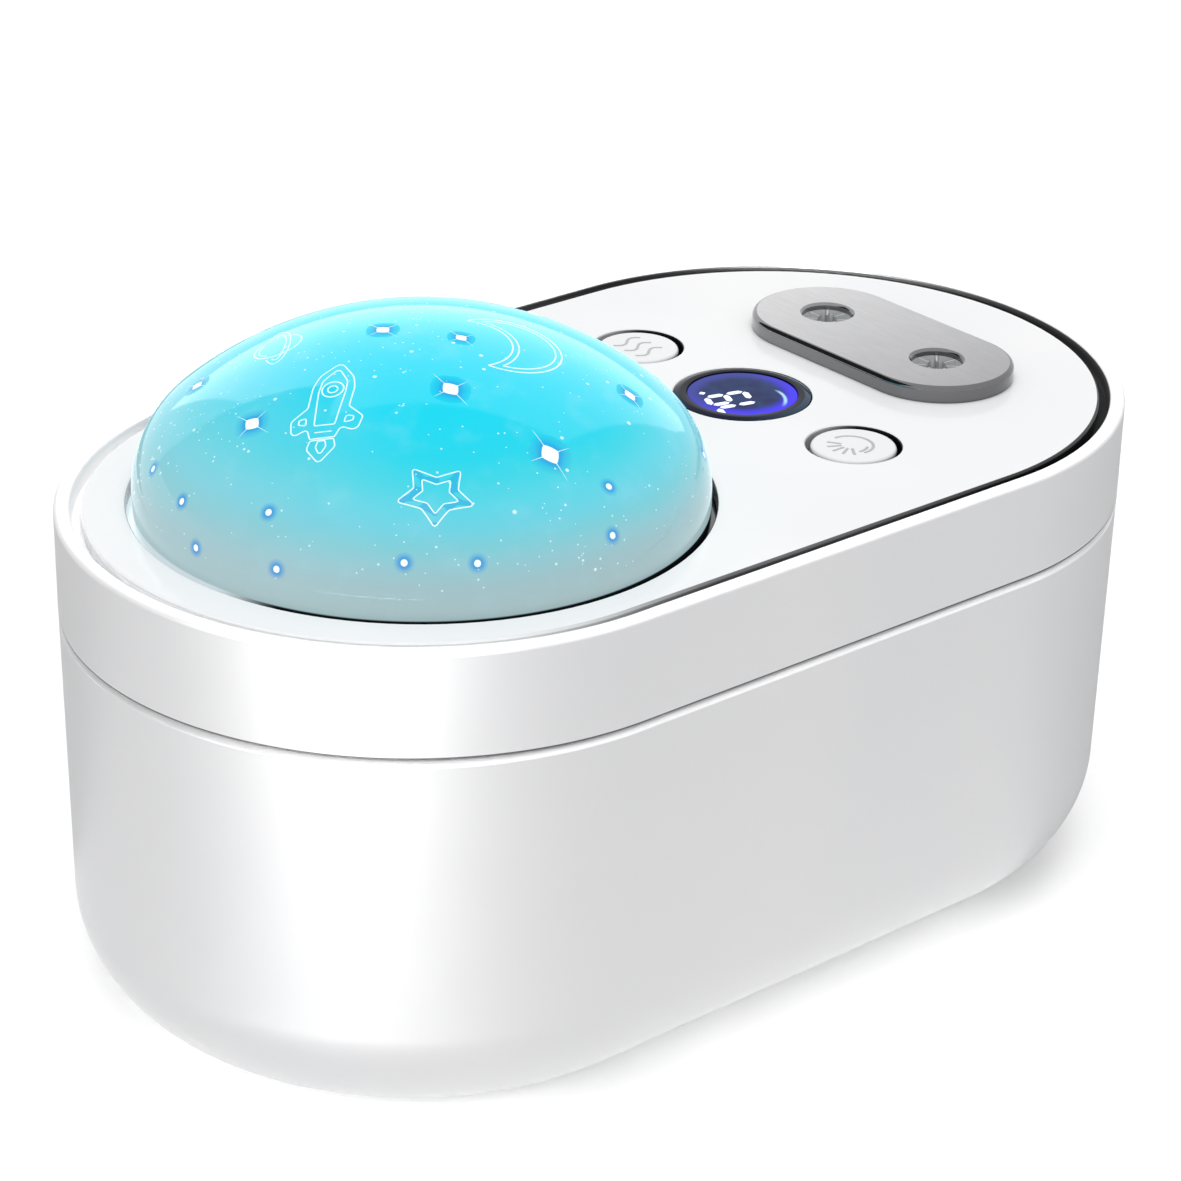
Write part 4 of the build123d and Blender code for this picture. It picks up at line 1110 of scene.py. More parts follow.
class SpeckTree(StarTree):
    """Scatters small glowing specks over the part of a surface above a height, thicker in bands."""

    band_size = 22.0
    thinnest = 0.25
    smallest = 0.35
    usual_spread = 0.4
    rarity = 14.0

    def __init__(self) -> None:
        """Build the tree: points spread by a noise band, with small shapes of random size."""
        inputs = {"Shape": "Object", "Density": "Float", "Lowest": "Float", "Seed": "Int"}
        GeometryTree.__init__(self, "scattered_specks", inputs)
        nodes = self.nodes
        place = nodes.make("GeometryNodeInputPosition")
        high = nodes.part(place, "Z").math("GREATER_THAN", self.input("Lowest"))
        outer = nodes.part(nodes.make("GeometryNodeInputNormal"), "Z").math("GREATER_THAN", 0.0)
        band = nodes.noise(self.band_size, place, detail=2.0).between(0.42, 0.68)
        spread = {
            "Mesh": self.geometry,
            "Selection": high * outer,
            "Density": self.input("Density") * (self.thinnest + band),
            "Seed": self.input("Seed"),
        }
        points = nodes.make("GeometryNodeDistributePointsOnFaces", {"distribute_method": "RANDOM"}, spread)
        picks = {"Seed": self.input("Seed")}
        pick = nodes.make("FunctionNodeRandomValue", {"data_type": "FLOAT"}, picks, output=1)
        self.set_out(self.geometry, {
            "Points": points,
            "Instance": self.geometry_of("Shape"),
            "Rotation": points.output("Rotation"),
            "Scale": self.smallest + self.usual_spread * pick + pick ** self.rarity,
        })


def sampled_normal(nodes: Nodes, surface: Value, place: Value) -> Value:
    """The smooth normal of a surface at the point nearest to a place."""
    values = {"Mesh": surface, "Value": nodes.make("GeometryNodeInputNormal"), "Sample Position": place}
    return nodes.make("GeometryNodeSampleNearestSurface", {"data_type": "FLOAT_VECTOR"}, values)


# ---------------------------------------------------------------- pieces


def dress(piece: Piece, finish: Finish, node: str, replaced: Sequence[str] = ()) -> None:
    """Give a piece its material and its body, and hide the nodes that it stands for.

    Args:
        piece: The finished object.
        finish: Its finish.
        node: The CAD node whose body it takes.
        replaced: The CAD nodes that it stands for, which are hidden.
    """
    piece.data.materials.clear()
    piece.data.materials.append(finish.material())
    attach(piece, NODE_BODIES[node])
    if replaced:
        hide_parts(*replaced)
    log.info("%s: %d faces, on %s", piece.name, len(piece.data.polygons), NODE_BODIES[node])


def new_object(name: str, mesh: bpy.types.Mesh) -> Piece:
    """A linked object at the origin that holds the mesh."""
    made = bpy.data.objects.new(name, mesh)
    bpy.context.scene.collection.objects.link(made)
    return made


def remove_object(helper: Piece) -> None:
    """Delete a helper object and its mesh."""
    mesh = helper.data
    bpy.data.objects.remove(helper)
    bpy.data.meshes.remove(mesh)


def bake(source: Piece) -> None:
    """Turn what an object's modifiers make into its own plain mesh."""
    bpy.context.view_layer.update()
    shown = source.evaluated_get(bpy.context.evaluated_depsgraph_get())
    mesh = bpy.data.meshes.new_from_object(shown)
    source.modifiers.clear()
    source.data = mesh


def smooth(piece: Piece, sharp_angle: float = SHARP_EDGE, closed: bool = True) -> None:
    """Merge doubles, point the faces outwards and shade them smooth up to an angle.

    Args:
        piece: An object with a plain mesh.
        sharp_angle: Edges that turn by more than this, in degrees, stay sharp.
        closed: Whether it has a closed surface, whose faces are pointed outwards again.
    """
    mesh = piece.data
    work = bmesh.new()
    work.from_mesh(mesh)
    bmesh.ops.remove_doubles(work, verts=work.verts, dist=MERGE_DISTANCE)
    bmesh.ops.dissolve_degenerate(work, edges=work.edges, dist=MERGE_DISTANCE / 4)
    if closed:
        bmesh.ops.recalc_face_normals(work, faces=work.faces)
    work.to_mesh(mesh)
    work.free()
    mesh.shade_smooth()
    mesh.set_sharp_from_angle(angle=math.radians(sharp_angle))
    weighted = piece.modifiers.new("weighted", "WEIGHTED_NORMAL")
    weighted.keep_sharp = True
    bake(piece)


def finished_copy(node: str, finish: Optional[Finish] = None) -> None:
    """Make a piece that stands for a CAD node whose shape is already right.

    Args:
        node: The CAD node.
        finish: Its finish, or the plain one of the node's slot.
    """
    piece = new_object(f"{node}_finished", frame["nodes"][node].data.copy())
    smooth(piece, closed=False)
    dress(piece, finish or PLAIN_FINISHES[NODE_SLOTS[node]], node, [node])


# ---------------------------------------------------------------- shapes


def on_circle(centre: Point, radius: float, degrees: float) -> Point:
    """The point of a circle at an angle."""
    angle = math.radians(degrees)
    return (centre[0] + radius * math.cos(angle), centre[1] + radius * math.sin(angle))


def circle(radius: float, count: int) -> list[Point]:
    """Points spread evenly round a circle about the middle."""
    return [on_circle((0.0, 0.0), radius, 360 * n / count) for n in range(count)]


def arc(centre: Point, radius: float, start: float, end: float, step: float) -> list[Point]:
    """Points along an arc, both ends included, at most a step apart. All angles are in degrees."""
    count = max(1, math.ceil(abs(end - start) / step))
    return [on_circle(centre, radius, start + (end - start) * n / count) for n in range(count + 1)]


def rounded(
    corners: Sequence[tuple[float, ...]],
    closed: bool = False,
    tolerance: float = 0.006,
) -> list[Point]:
    """A profile with rounded corners.

    Args:
        corners: Each corner as (x, y) or (x, y, radius of its rounding).
        closed: Whether the last corner leads back to the first, which is then repeated.
        tolerance: How far a flat between two points may leave its arc.

    Returns:
        The profile's points.
    """
    points: list[Point] = []
    count = len(corners)
    for n, corner in enumerate(corners):
        here = Vector(corner[:2])
        if len(corner) < 3:
            points.append(tuple(here))
            continue
        back = (Vector(corners[n - 1][:2]) - here).normalized()
        ahead = (Vector(corners[(n + 1) % count][:2]) - here).normalized()
        half = back.angle(ahead) / 2
        radius = corner[2]
        middle = here + (back + ahead).normalized() * radius / math.sin(half)
        first = here + back * radius / math.tan(half) - middle
        turn = first.angle_signed(here + ahead * radius / math.tan(half) - middle)
        steps = max(2, math.ceil(abs(turn) / (2 * math.acos(1 - tolerance / radius))))
        for step in range(steps + 1):
            spoke = Matrix.Rotation(-turn * step / steps, 2) @ first
            points.append(tuple(middle + spoke))
    return points + points[:1] if closed else points


def mesh_of(name: str, points: Sequence[Sequence[float]], edges: Sequence[tuple[int, int]] = (),
            faces: Sequence[Sequence[int]] = ()) -> bpy.types.Mesh:
    """A mesh from points in millimetres."""
    mesh = bpy.data.meshes.new(name)
    mesh.from_pydata([[c * MM for c in point] for point in points], edges, faces)
    return mesh


def give_attribute(mesh: bpy.types.Mesh, name: str, values: Sequence[float]) -> None:
    """Store one number for each point of a mesh."""
    attribute = mesh.attributes.new(name, "FLOAT", "POINT")
    attribute.data.foreach_set("value", values)


def boxed(node: str) -> tuple[Vector, Vector]:
    """The lowest and highest corner of a CAD node in millimetres."""
    low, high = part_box(node)
    return low / MM, high / MM


def middle_of(low: Vector, high: Vector) -> Point:
    """The middle of a box in plan."""
    return ((low.x + high.x) / 2, (low.y + high.y) / 2)


@dataclass
class DrapedShape:
    """A closed shape for draping: rings that rise from a sunk rim to a middle, over one point below."""

    points: list[Place] = field(default_factory=list)
    faces: list[Face] = field(default_factory=list)
    lift: list[float] = field(default_factory=list)
    halo: list[float] = field(default_factory=list)
    spark: list[float] = field(default_factory=list)

    def add_rings(self, rings: Sequence[tuple[Sequence[Point], float, float, float]], depth: float) -> None:
        """Add one closed form.

        Args:
            rings: From the rim inwards, each with its outline, lift in millimetres, halo and spark. All
                have as many points, and the last is closed by a point in its middle.
            depth: How far below the surface the form is closed, in millimetres.
        """
        first = len(self.points)
        count = len(rings[0][0])
        for outline, lift, halo, spark in rings:
            self.points += [(x, y, 0.0) for x, y in outline]
            self.lift += [lift * MM] * count
            self.halo += [halo] * count
            self.spark += [spark] * count
        outline, lift, halo, spark = rings[-1]
        middle = (sum(x for x, y in outline) / count, sum(y for x, y in outline) / count, 0.0)
        self.points += [middle, middle]
        self.lift += [lift * MM, -depth * MM]
        self.halo += [halo, halo]
        self.spark += [spark, spark]
        top = len(self.points) - 2
        last = first + count * (len(rings) - 1)
        for n in range(count):
            after = (n + 1) % count
            for ring in range(len(rings) - 1):
                low = first + ring * count
                high = low + count
                self.faces.append((low + n, low + after, high + after, high + n))
            self.faces.append((last + n, last + after, top))
            self.faces.append((first + after, first + n, top + 1))

    def object(self, name: str) -> Piece:
        """The shape as a helper object with its lift, halo and spark attributes."""
        mesh = mesh_of(name, self.points, faces=self.faces)
        give_attribute(mesh, LIFT, self.lift)
        give_attribute(mesh, HALO, self.halo)
        give_attribute(mesh, SPARK, self.spark)
        return new_object(name, mesh)


class Workshop:
    """The trees that shape pieces, and the few cuts and joins that follow them."""

    def __init__(self) -> None:
        """Build each tree once."""
        self.turned = TurnedTree()
        self.ridges = RidgeTree()
        self.stars = StarTree()
        self.stamps = StampTree()
        self.specks = SpeckTree()

    def turn(
        self,
        name: str,
        profile: Sequence[Point],
        finish: Finish,
        centre: Point = (0.0, 0.0),
        spacing: float = 0.0,
        steps: int = 256,
        quarter: bool = False,
    ) -> Piece:
        """Turn a profile round a circle, or carry it round a stadium.

        Args:
            name: The piece's name.
            profile: Its points in millimetres, each as (distance from the arc's centre, height).
            finish: Its finish.
            centre: The middle of the circle or stadium, in plan.
            spacing: The distance between the stadium's arc centres, along X.
            steps: How many points there are round the path.
            quarter: Whether the stadium lies along Y.

        Returns:
            The closed, smooth piece.
        """
        piece = new_object(name, mesh_of(name, [(reach, 0.0, height) for reach, height in profile]))
        self.turned.run(piece, finish, {"Spacing": spacing * MM, "Steps": steps})
        if quarter:
            piece.data.transform(Matrix.Rotation(math.pi / 2, 4, "Z"))
        piece.data.transform(Matrix.Translation(Vector((*centre, 0.0)) * MM))
        smooth(piece)
        return piece

    def turned_copies(
        self,
        name: str,
        profile: Sequence[Point],
        places: Sequence[Place],
        steps: int = 64,
    ) -> Piece:
        """Turned copies at several places, as one helper object.

        Args:
            name: Its name.
            profile: The profile of each, in millimetres.
            places: Where they go.
            steps: How many points there are round each.

        Returns:
            The helper.
        """
        shape = self.turn(f"{name}_shape", profile, WHITE_BODY, steps=steps)
        holder = new_object(name, mesh_of(name, places))
        self.stamps.run(holder, WHITE_BODY, {"Shape": shape})
        remove_object(shape)
        return holder

    def combine(self, piece: Piece, other: Piece, operation: str) -> None:
        """Cut another object out of a piece, or join it to the piece, and delete it.

        Args:
            piece: The piece that is changed.
            other: The helper object.
            operation: DIFFERENCE or UNION.
        """
        change = piece.modifiers.new("combined", "BOOLEAN")
        change.operation = operation
        change.solver = "EXACT"
        change.object = other
        bake(piece)
        remove_object(other)
        smooth(piece)

    def draw(
        self,
        name: str,
        lines: Sequence[Sequence[Point]],
        surface: Piece,
        finish: Finish,
        width: float,
        rise: float,
        sides: int = 8,
        spark: float = 0.0,
    ) -> Piece:
        """Lay ridges along lines drawn in plan on a surface.

        Args:
            name: The piece's name.
            lines: Each line's points in millimetres.
            surface: The object that the ridges lie on.
            finish: Their finish.
            width: How wide a ridge is where it meets the surface.
            rise: How far it stands proud.
            sides: The sides of a ridge's round section.
            spark: How white the ridges glow.

        Returns:
            The ridges as one piece.
        """
        points = self.above(surface, [place for line in lines for place in line])
        edges = []
        start = 0
        for line in lines:
            edges += [(n, n + 1) for n in range(start, start + len(line) - 1)]
            start += len(line)
        piece = new_object(name, mesh_of(name, points, edges=edges))
        radius = (width ** 2 / 4 + rise ** 2) / (2 * rise)
        self.ridges.run(piece, finish, {
            "Surface": surface,
            "Radius": radius * MM,
            "Sunk": (radius - rise) * MM,
            "Step": RIDGE_STEP * MM,
            "Sides": sides,
            "Spark": spark,
        })
        smooth(piece, SOFT_EDGE)
        return piece

    def above(self, surface: Piece, places: Sequence[Point]) -> list[Place]:
        """Places in plan, set a little higher than the top of a surface, to be dropped onto it."""
        height = max(corner[2] for corner in surface.bound_box) / MM + DROP_HEIGHT
        return [(x, y, height) for x, y in places]

    def scatter(
        self,
        name: str,
        places: Sequence[Point],
        sizes: Sequence[float],
        shape: DrapedShape,
        surface: Piece,
        finish: Finish,
    ) -> Piece:
        """Set draped copies of a shape on a surface.

        Args:
            name: The piece's name.
            places: Where they go, in plan, in millimetres.
            sizes: The scale of each.
            shape: The shape.
            surface: The object they lie on.
            finish: Their finish.

        Returns:
            The copies as one piece.
        """
        helper = shape.object(f"{name}_shape")
        piece = new_object(name, mesh_of(name, self.above(surface, places)))
        give_attribute(piece.data, SIZE, sizes)
        self.stars.run(piece, finish, {"Surface": surface, "Shape": helper})
        remove_object(helper)
        smooth(piece, SOFT_EDGE)
        return piece


# ---------------------------------------------------------------- sub-assemblies


@dataclass
class TankAssembly:
    """The water tank with its stepped mouth, and the four feet under it."""

    wall: float = 3.4
    lip: float = 2.0
    floor: float = 3.0
    draft: float = 0.6
    bottom_radius: float = 17.0
    edge: float = 0.8
    edge_rounding: float = 0.3
    mouth_depth: float = 2.5
    foot_clearance: float = 0.2
    foot_recess: float = 0.8
    foot_radius: float = 6.0

    def build(self, shop: Workshop) -> None:
        """Make the tank and dress the feet."""
        low, high = boxed("tank")
        reach = high.y
        lean = math.tan(math.radians(self.draft))
        shoulder = high.z - self.mouth_depth
        bore = reach - self.wall
        floor_top = low.z + self.floor
        profile = rounded([
            (0.0, low.z),
            (reach - (high.z - low.z) * lean, low.z, self.bottom_radius),
            (reach - self.edge * lean, high.z - self.edge, self.edge_rounding),
            (reach - self.edge, high.z, self.edge_rounding),
            (reach - self.lip, high.z),
            (reach - self.lip, shoulder, self.edge_rounding),
            (bore, shoulder, self.edge_rounding),
            (bore - (shoulder - floor_top) * lean, floor_top, self.bottom_radius - self.wall),
            (0.0, floor_top),
        ])
        tank = shop.turn("tank_finished", profile, WHITE_BODY, spacing=high.x - low.x - 2 * reach)
        edge = boxed("feet")[1] - Vector((self.foot_radius, self.foot_radius, 0))
        places = [(x * edge.x, y * edge.y, 0.0) for x in (-1, 1) for y in (-1, 1)]
        recess = [
            (0.0, low.z - 1),
            (self.foot_radius + self.foot_clearance, low.z - 1),
            (self.foot_radius + self.foot_clearance, low.z + self.foot_recess),
            (0.0, low.z + self.foot_recess),
        ]
        shop.combine(tank, shop.turned_copies("recesses", recess, places), "DIFFERENCE")
        dress(tank, WHITE_BODY, "tank", ["tank"])
        finished_copy("feet")


@dataclass
class LidCasing:
    """The band of the lid, the tray below it, the seal, the strip in the groove and the panel on top."""

    rim_width: float = 2.3
    rim_edge: float = 0.8
    inner_edge: float = 0.6
    foot_edge: float = 0.35
    ledge_thickness: float = 1.7
    ledge_reach: float = 3.2
    slot_clearance: float = 0.4
    post_radius: float = 3.6
    post_bore: float = 1.3
    post_height: float = 6.8
    post_bore_depth: float = 5.1
    post_ring: float = 44.5
    post_end_angle: float = 50.0
    post_spacing: float = 40.0
    tray_thickness: float = 2.0

    def build(self, shop: Workshop) -> None:
        """Make the lid's outer pieces."""
        self.band(shop)
        for node in ("lid_floor", "lid_seal", "lid_screws"):
            finished_copy(node)
        finished_copy("panel_strip", GROOVE_STRIP)
        finished_copy("top_panel")

    def band(self, shop: Workshop) -> None:
        """The band: a ring with a ledge and screw posts inside, and a slot for the socket."""
        low, high = boxed("lid_shell")
        strip_base = boxed("panel_strip")[0].z
        reach = high.y
        spacing = high.x - low.x - 2 * reach
        bore = reach - self.rim_width
        ledge_base = strip_base - self.ledge_thickness
        profile = rounded([
            (reach, low.z, self.foot_edge),
            (reach, high.z, self.rim_edge),
            (bore, high.z, self.inner_edge),
            (bore, strip_base),
            (bore - self.ledge_reach, strip_base),
            (bore - self.ledge_reach, ledge_base),
            (bore, ledge_base),
            (bore, low.z),
        ], closed=True)
        band = shop.turn("lid_band", profile, WHITE_LID, spacing=spacing)
        shop.combine(band, self.slot_cutter(reach), "DIFFERENCE")
        base = boxed("lid_seal")[1].z + self.tray_thickness
        end = on_circle((spacing / 2, 0.0), self.post_ring, self.post_end_angle)
        corners = (end, (self.post_spacing / 2, self.post_ring))
        places = [(a * x, b * y, 0.0) for x, y in corners for a in (-1, 1) for b in (-1, 1)]
        post = [
            (0.0, base + self.post_bore_depth),
            (self.post_bore, base + self.post_bore_depth),
            (self.post_bore, base),
            (self.post_radius, base),
            (self.post_radius, base + self.post_height),
            (0.0, base + self.post_height),
        ]
        shop.combine(band, shop.turned_copies("posts", post, places), "UNION")
        dress(band, WHITE_LID, "lid_shell", ["lid_shell"])

    def slot_cutter(self, reach: float) -> Piece:
        """A round-ended bar along Y that cuts the socket's slot.

        Args:
            reach: How far the band stands from the middle plane.

        Returns:
            The helper object.
        """
        low, high = boxed("usb_socket")
        middle = (low + high) / 2
        end = (high.z - low.z) / 2 + self.slot_clearance
        flat = (high.x - low.x) / 2 + self.slot_clearance - end
        outline = arc((flat, 0.0), end, -90, 90, 9) + arc((-flat, 0.0), end, 90, 270, 9)
        count = len(outline)
        depths = (reach - 2 * self.rim_width, reach + 1)
        points = [(middle.x + x, y, middle.z + z) for y in depths for x, z in outline]
        faces = [tuple(range(count)), tuple(range(2 * count - 1, count - 1, -1))]
        faces += [(n, count + n, count + (n + 1) % count, (n + 1) % count) for n in range(count)]
        cutter = new_object("slot_cutter", mesh_of("slot_cutter", points, faces=faces))
        smooth(cutter)
        return cutter


@dataclass
class Dome:
    """The glowing dome with its stars and line drawings, and the film and ring under it.

    Places on it are in plan about its axis, and the specks' density is per square metre.
    """

    inset: float = 0.05
    wall: float = 2.0
    edge_radius: float = 14.2
    crown_radius: float = 55.0
    spring: float = 77.4
    flange_thickness: float = 1.5
    flange_width: float = 2.1
    steps: int = 256
    line_width: float = 0.32
    line_rise: float = 0.05
    line_spark: float = 0.7
    star_centre: Point = (-18.6, -27.2)
    star_bearing: float = 50.0
    star_reach: float = 5.45
    star_height: float = 0.87
    star_notch: float = 0.56
    star_inner: float = 0.6
    rocket_centre: Point = (-20.2, -6.2)
    rocket_bearing: float = 43.0
    rocket_scale: float = 0.87
    fill_lift: float = 0.008
    fill_halo: float = 0.42
    fill_depth: float = 0.15
    fill_margin: float = 0.03
    speck_density: float = 220000.0
    speck_lowest: float = 79.0
    seed: int = 12
    large_stars: tuple[Point, ...] = ((-7.2, -15.6), (-1.6, -29.8), (-28.2, 0.4), (19.0, -21.8), (-5.3, 1.9))
    large_sizes: tuple[float, ...] = (1.0, 1.15, 0.95, 0.8, 0.85)
    small_stars: tuple[Point, ...] = (
        (1.6, -6.6), (-24.1, 19.5), (14.0, 14.0), (22.0, 3.0), (-9.0, 27.0), (4.0, 24.0),
    )
    small_sizes: tuple[float, ...] = (0.7, 0.75, 0.6, 0.7, 0.65, 0.55)
    ringed_stars: tuple[Point, ...] = (
        (-38.6, 2.1), (-34.7, -12.4), (-40.1, -3.2), (-36.5, -16.5), (-25.6, -29.6), (-17.8, -35.0),
        (4.0, -35.3), (1.5, -39.2), (-36.3, 12.4), (28.4, -26.9), (37.2, -14.0), (33.0, 16.0),
        (20.0, 30.0), (-4.0, 36.5), (-20.0, 30.5),
    )
    centre: Point = field(init=False)

    def build(self, shop: Workshop) -> None:
        """Make the lens, what is drawn on it, and what it stands on."""
        low, high = boxed("dome_lens")
        self.centre = middle_of(low, high)
        lens = self.lens(shop, low, high)
        places = self.placed(self.large_stars + self.small_stars)
        sizes = self.large_sizes + self.small_sizes
        sparkles = shop.scatter("dome_sparkles", places, sizes, self.sparkle(), lens, DOME_GLOW)
        places = self.placed(self.ringed_stars)
        sizes = [1.0] * len(places)
        ringed = shop.scatter("dome_ringed_stars", places, sizes, self.ringed(), lens, DOME_GLOW)
        figures = (*self.rocket(), *self.planet(), *self.crescent(), *self.star())
        lines = [self.placed(line) for line in figures]
        drawn = shop.draw("dome_drawings", lines, lens, DOME_GLOW, self.line_width, self.line_rise,
                          sides=6, spark=self.line_spark)
        for piece in (sparkles, ringed, drawn, self.star_fill(), self.specks(shop, lens)):
            dress(piece, DOME_GLOW, "dome_lens")
        dress(lens, DOME_GLOW, "dome_lens", ["dome_lens"])
        finished_copy("star_film")
        finished_copy("dome_retainer")

    def placed(self, points: Sequence[Point]) -> list[Point]:
        """Points about the dome's axis, moved to its place."""
        return [(x + self.centre[0], y + self.centre[1]) for x, y in points]

    def wrapped(
        self,
        figure: Sequence[Point],
        centre: Point,
        bearing: float,
        lift: float = 0.0,
    ) -> list[Place]:
        """A flat figure laid round the dome without stretching it.

        Args:
            figure: Its points, as (to the right, up) from its middle.
            centre: The place of its middle, in plan about the dome's axis.
            bearing: The way its upper side points, in plan, in degrees from +X towards +Y.
            lift: How far the points stand off the dome.

        Returns:
            The points about the dome's axis, with their heights.
        """
        high = boxed("dome_lens")[1]
        edge_centre = high.x - self.centre[0] - self.flange_width - self.edge_radius
        lean_at_join = math.asin(edge_centre / (self.crown_radius - self.edge_radius))
        join = lean_at_join * self.crown_radius
        away = math.hypot(*centre)
        around = math.atan2(centre[1], centre[0])
        lean = math.asin(away / self.crown_radius)
        aim = math.radians(bearing) - around - math.pi
        tilt = math.atan2(math.sin(aim) * math.cos(lean), math.cos(aim))
        points = []
        for right, up in figure:
            inwards = up * math.cos(tilt) + right * math.sin(tilt)
            sideways = up * math.sin(tilt) - right * math.cos(tilt)
            run = lean * self.crown_radius - inwards
            if run > join:
                slope = lean_at_join + (run - join) / self.edge_radius
                radius = edge_centre + (self.edge_radius + lift) * math.sin(slope)
                height = self.spring + (self.edge_radius + lift) * math.cos(slope)
            else:
                slope = run / self.crown_radius
                radius = (self.crown_radius + lift) * math.sin(slope)
                drop = (self.crown_radius - self.edge_radius) * math.cos(lean_at_join)
                height = self.spring - drop + (self.crown_radius + lift) * math.cos(slope)
            angle = around - sideways / radius
            points.append((radius * math.cos(angle), radius * math.sin(angle), height))
        return points

    def curve(self, inset: float, foot: float) -> list[Point]:
        """Points from the dome's crown down to its foot.

        Args:
            inset: How far the curve lies inside the outer one.
            foot: The outer curve's radius at the foot.

        Returns:
            The points.
        """
        edge_centre = (foot - self.edge_radius, self.spring)
        start = math.degrees(math.acos(edge_centre[0] / (self.crown_radius - self.edge_radius)))
        rise = math.sin(math.radians(start)) * (self.crown_radius - self.edge_radius)
        crown_centre = (0.0, self.spring - rise)
        crown = arc(crown_centre, self.crown_radius - inset, 90, start, 1.2)
        return crown + arc(edge_centre, self.edge_radius - inset, start, 0, 2.5)[1:]

    def lens(self, shop: Workshop, low: Vector, high: Vector) -> Piece:
        """The lens: a thin shell over a flange."""
        flange = high.x - self.centre[0]
        foot = flange - self.flange_width
        flange_top = low.z + self.flange_thickness
        outer = self.curve(self.inset, foot)
        inner = self.curve(self.wall, foot)
        outer[0] = (0.0, outer[0][1])
        inner[0] = (0.0, inner[0][1])
        under = [
            (foot - self.inset, flange_top),
            (flange, flange_top),
            (flange, low.z),
            (foot - self.wall, low.z),
        ]
        return shop.turn("dome_shell", outer + under + inner[::-1], DOME_GLOW, self.centre, steps=self.steps)

    def sparkle(self) -> DrapedShape:
        """A bright rounded diamond with thin rays along X and Y over a deep blue halo."""
        shape = DrapedShape()
        turn = 24

        def outline(reach_x: float, reach_y: float, power: float) -> list[Point]:
            """A closed curve between a diamond (power 1) and an ellipse (power 2)."""
            points = []
            for n in range(turn):
                angle = math.tau * n / turn
                c = math.cos(angle)
                s = math.sin(angle)
                size = (abs(c / reach_x) ** power + abs(s / reach_y) ** power) ** (-1 / power)
                points.append((size * c, size * s))
            return points

        shape.add_rings([
            (outline(3.4, 3.7, 1.7), -0.01, 0.0, 0.0),
            (outline(2.7, 2.9, 1.6), 0.006, 0.1, 0.0),
            (outline(2.0, 2.2, 1.4), 0.009, 0.34, 0.0),
            (outline(1.5, 1.7, 1.2), 0.012, 0.7, 0.0),
        ], 0.4)
        for reach, along_y in ((2.9, False), (3.9, True)):
            self.add_ray(shape, reach, 0.15, along_y)
        shape.add_rings([
            (outline(1.25, 1.5, 1.25), -0.01, 0.3, 0.2),
            (outline(1.1, 1.35, 1.25), 0.035, 0.1, 0.85),
            (outline(0.8, 1.0, 1.3), 0.045, 0.0, 1.0),
        ], 0.4)
        return shape

    def add_ray(self, shape: DrapedShape, reach: float, half_width: float, along_y: bool) -> None:
        """Add a long thin double-ended ray through the middle.

        Args:
            shape: The shape it is added to.
            reach: How far each end goes.
            half_width: Half its width in the middle.
            along_y: Whether it lies along Y.
        """
        stations = 8

        def side(width: float) -> list[Point]:
            """One closed outline, fat in the middle and pointed at both ends."""
            places = [-1 + 2 * n / stations for n in range(stations + 1)]
            upper = [(t * reach, width * (1 - abs(t))) for t in places]
            lower = [(t * reach, -width * (1 - abs(t))) for t in places[-2:0:-1]]
            loop = upper + lower
            return [(y, x) for x, y in loop][::-1] if along_y else loop[::-1]

        shape.add_rings([
            (side(half_width), -0.008, 0.2, 0.3),
            (side(half_width * 0.4), 0.024, 0.1, 0.95),
        ], 0.3)

    def ringed(self) -> DrapedShape:
        """A white dot with a blue halo that fades outwards."""
        shape = DrapedShape()
        turn = 20
        shape.add_rings([
            (circle(1.7, turn), -0.01, 0.0, 0.0),
            (circle(1.35, turn), 0.006, 0.1, 0.0),
            (circle(1.0, turn), 0.009, 0.38, 0.0),
            (circle(0.72, turn), 0.012, 0.72, 0.0),
        ], 0.4)
        shape.add_rings([
            (circle(0.55, turn), -0.01, 0.5, 0.1),
            (circle(0.4, turn), 0.026, 0.1, 0.9),
            (circle(0.2, turn), 0.036, 0.0, 1.0),
        ], 0.4)
        return shape

    def rocket(self) -> list[list[Point]]:
        """A rocket: an outline with fins, an inner line, a port, marks on the fins and a double flame."""
        middle = 8.2

        def both(side: Sequence[Place]) -> list[Point]:
            """A right side from top to bottom and its mirror, with rounded corners."""
            left = [(-x, y, radius) for x, y, radius in reversed(side)]
            return rounded([*side, *left], closed=True, tolerance=0.03)

        def laid(line: Sequence[Point]) -> list[Point]:
            """A line on the dome."""
            figure = [(x * self.rocket_scale, (y - middle) * self.rocket_scale) for x, y in line]
            return [(x, y) for x, y, _ in self.wrapped(figure, self.rocket_centre, self.rocket_bearing)]

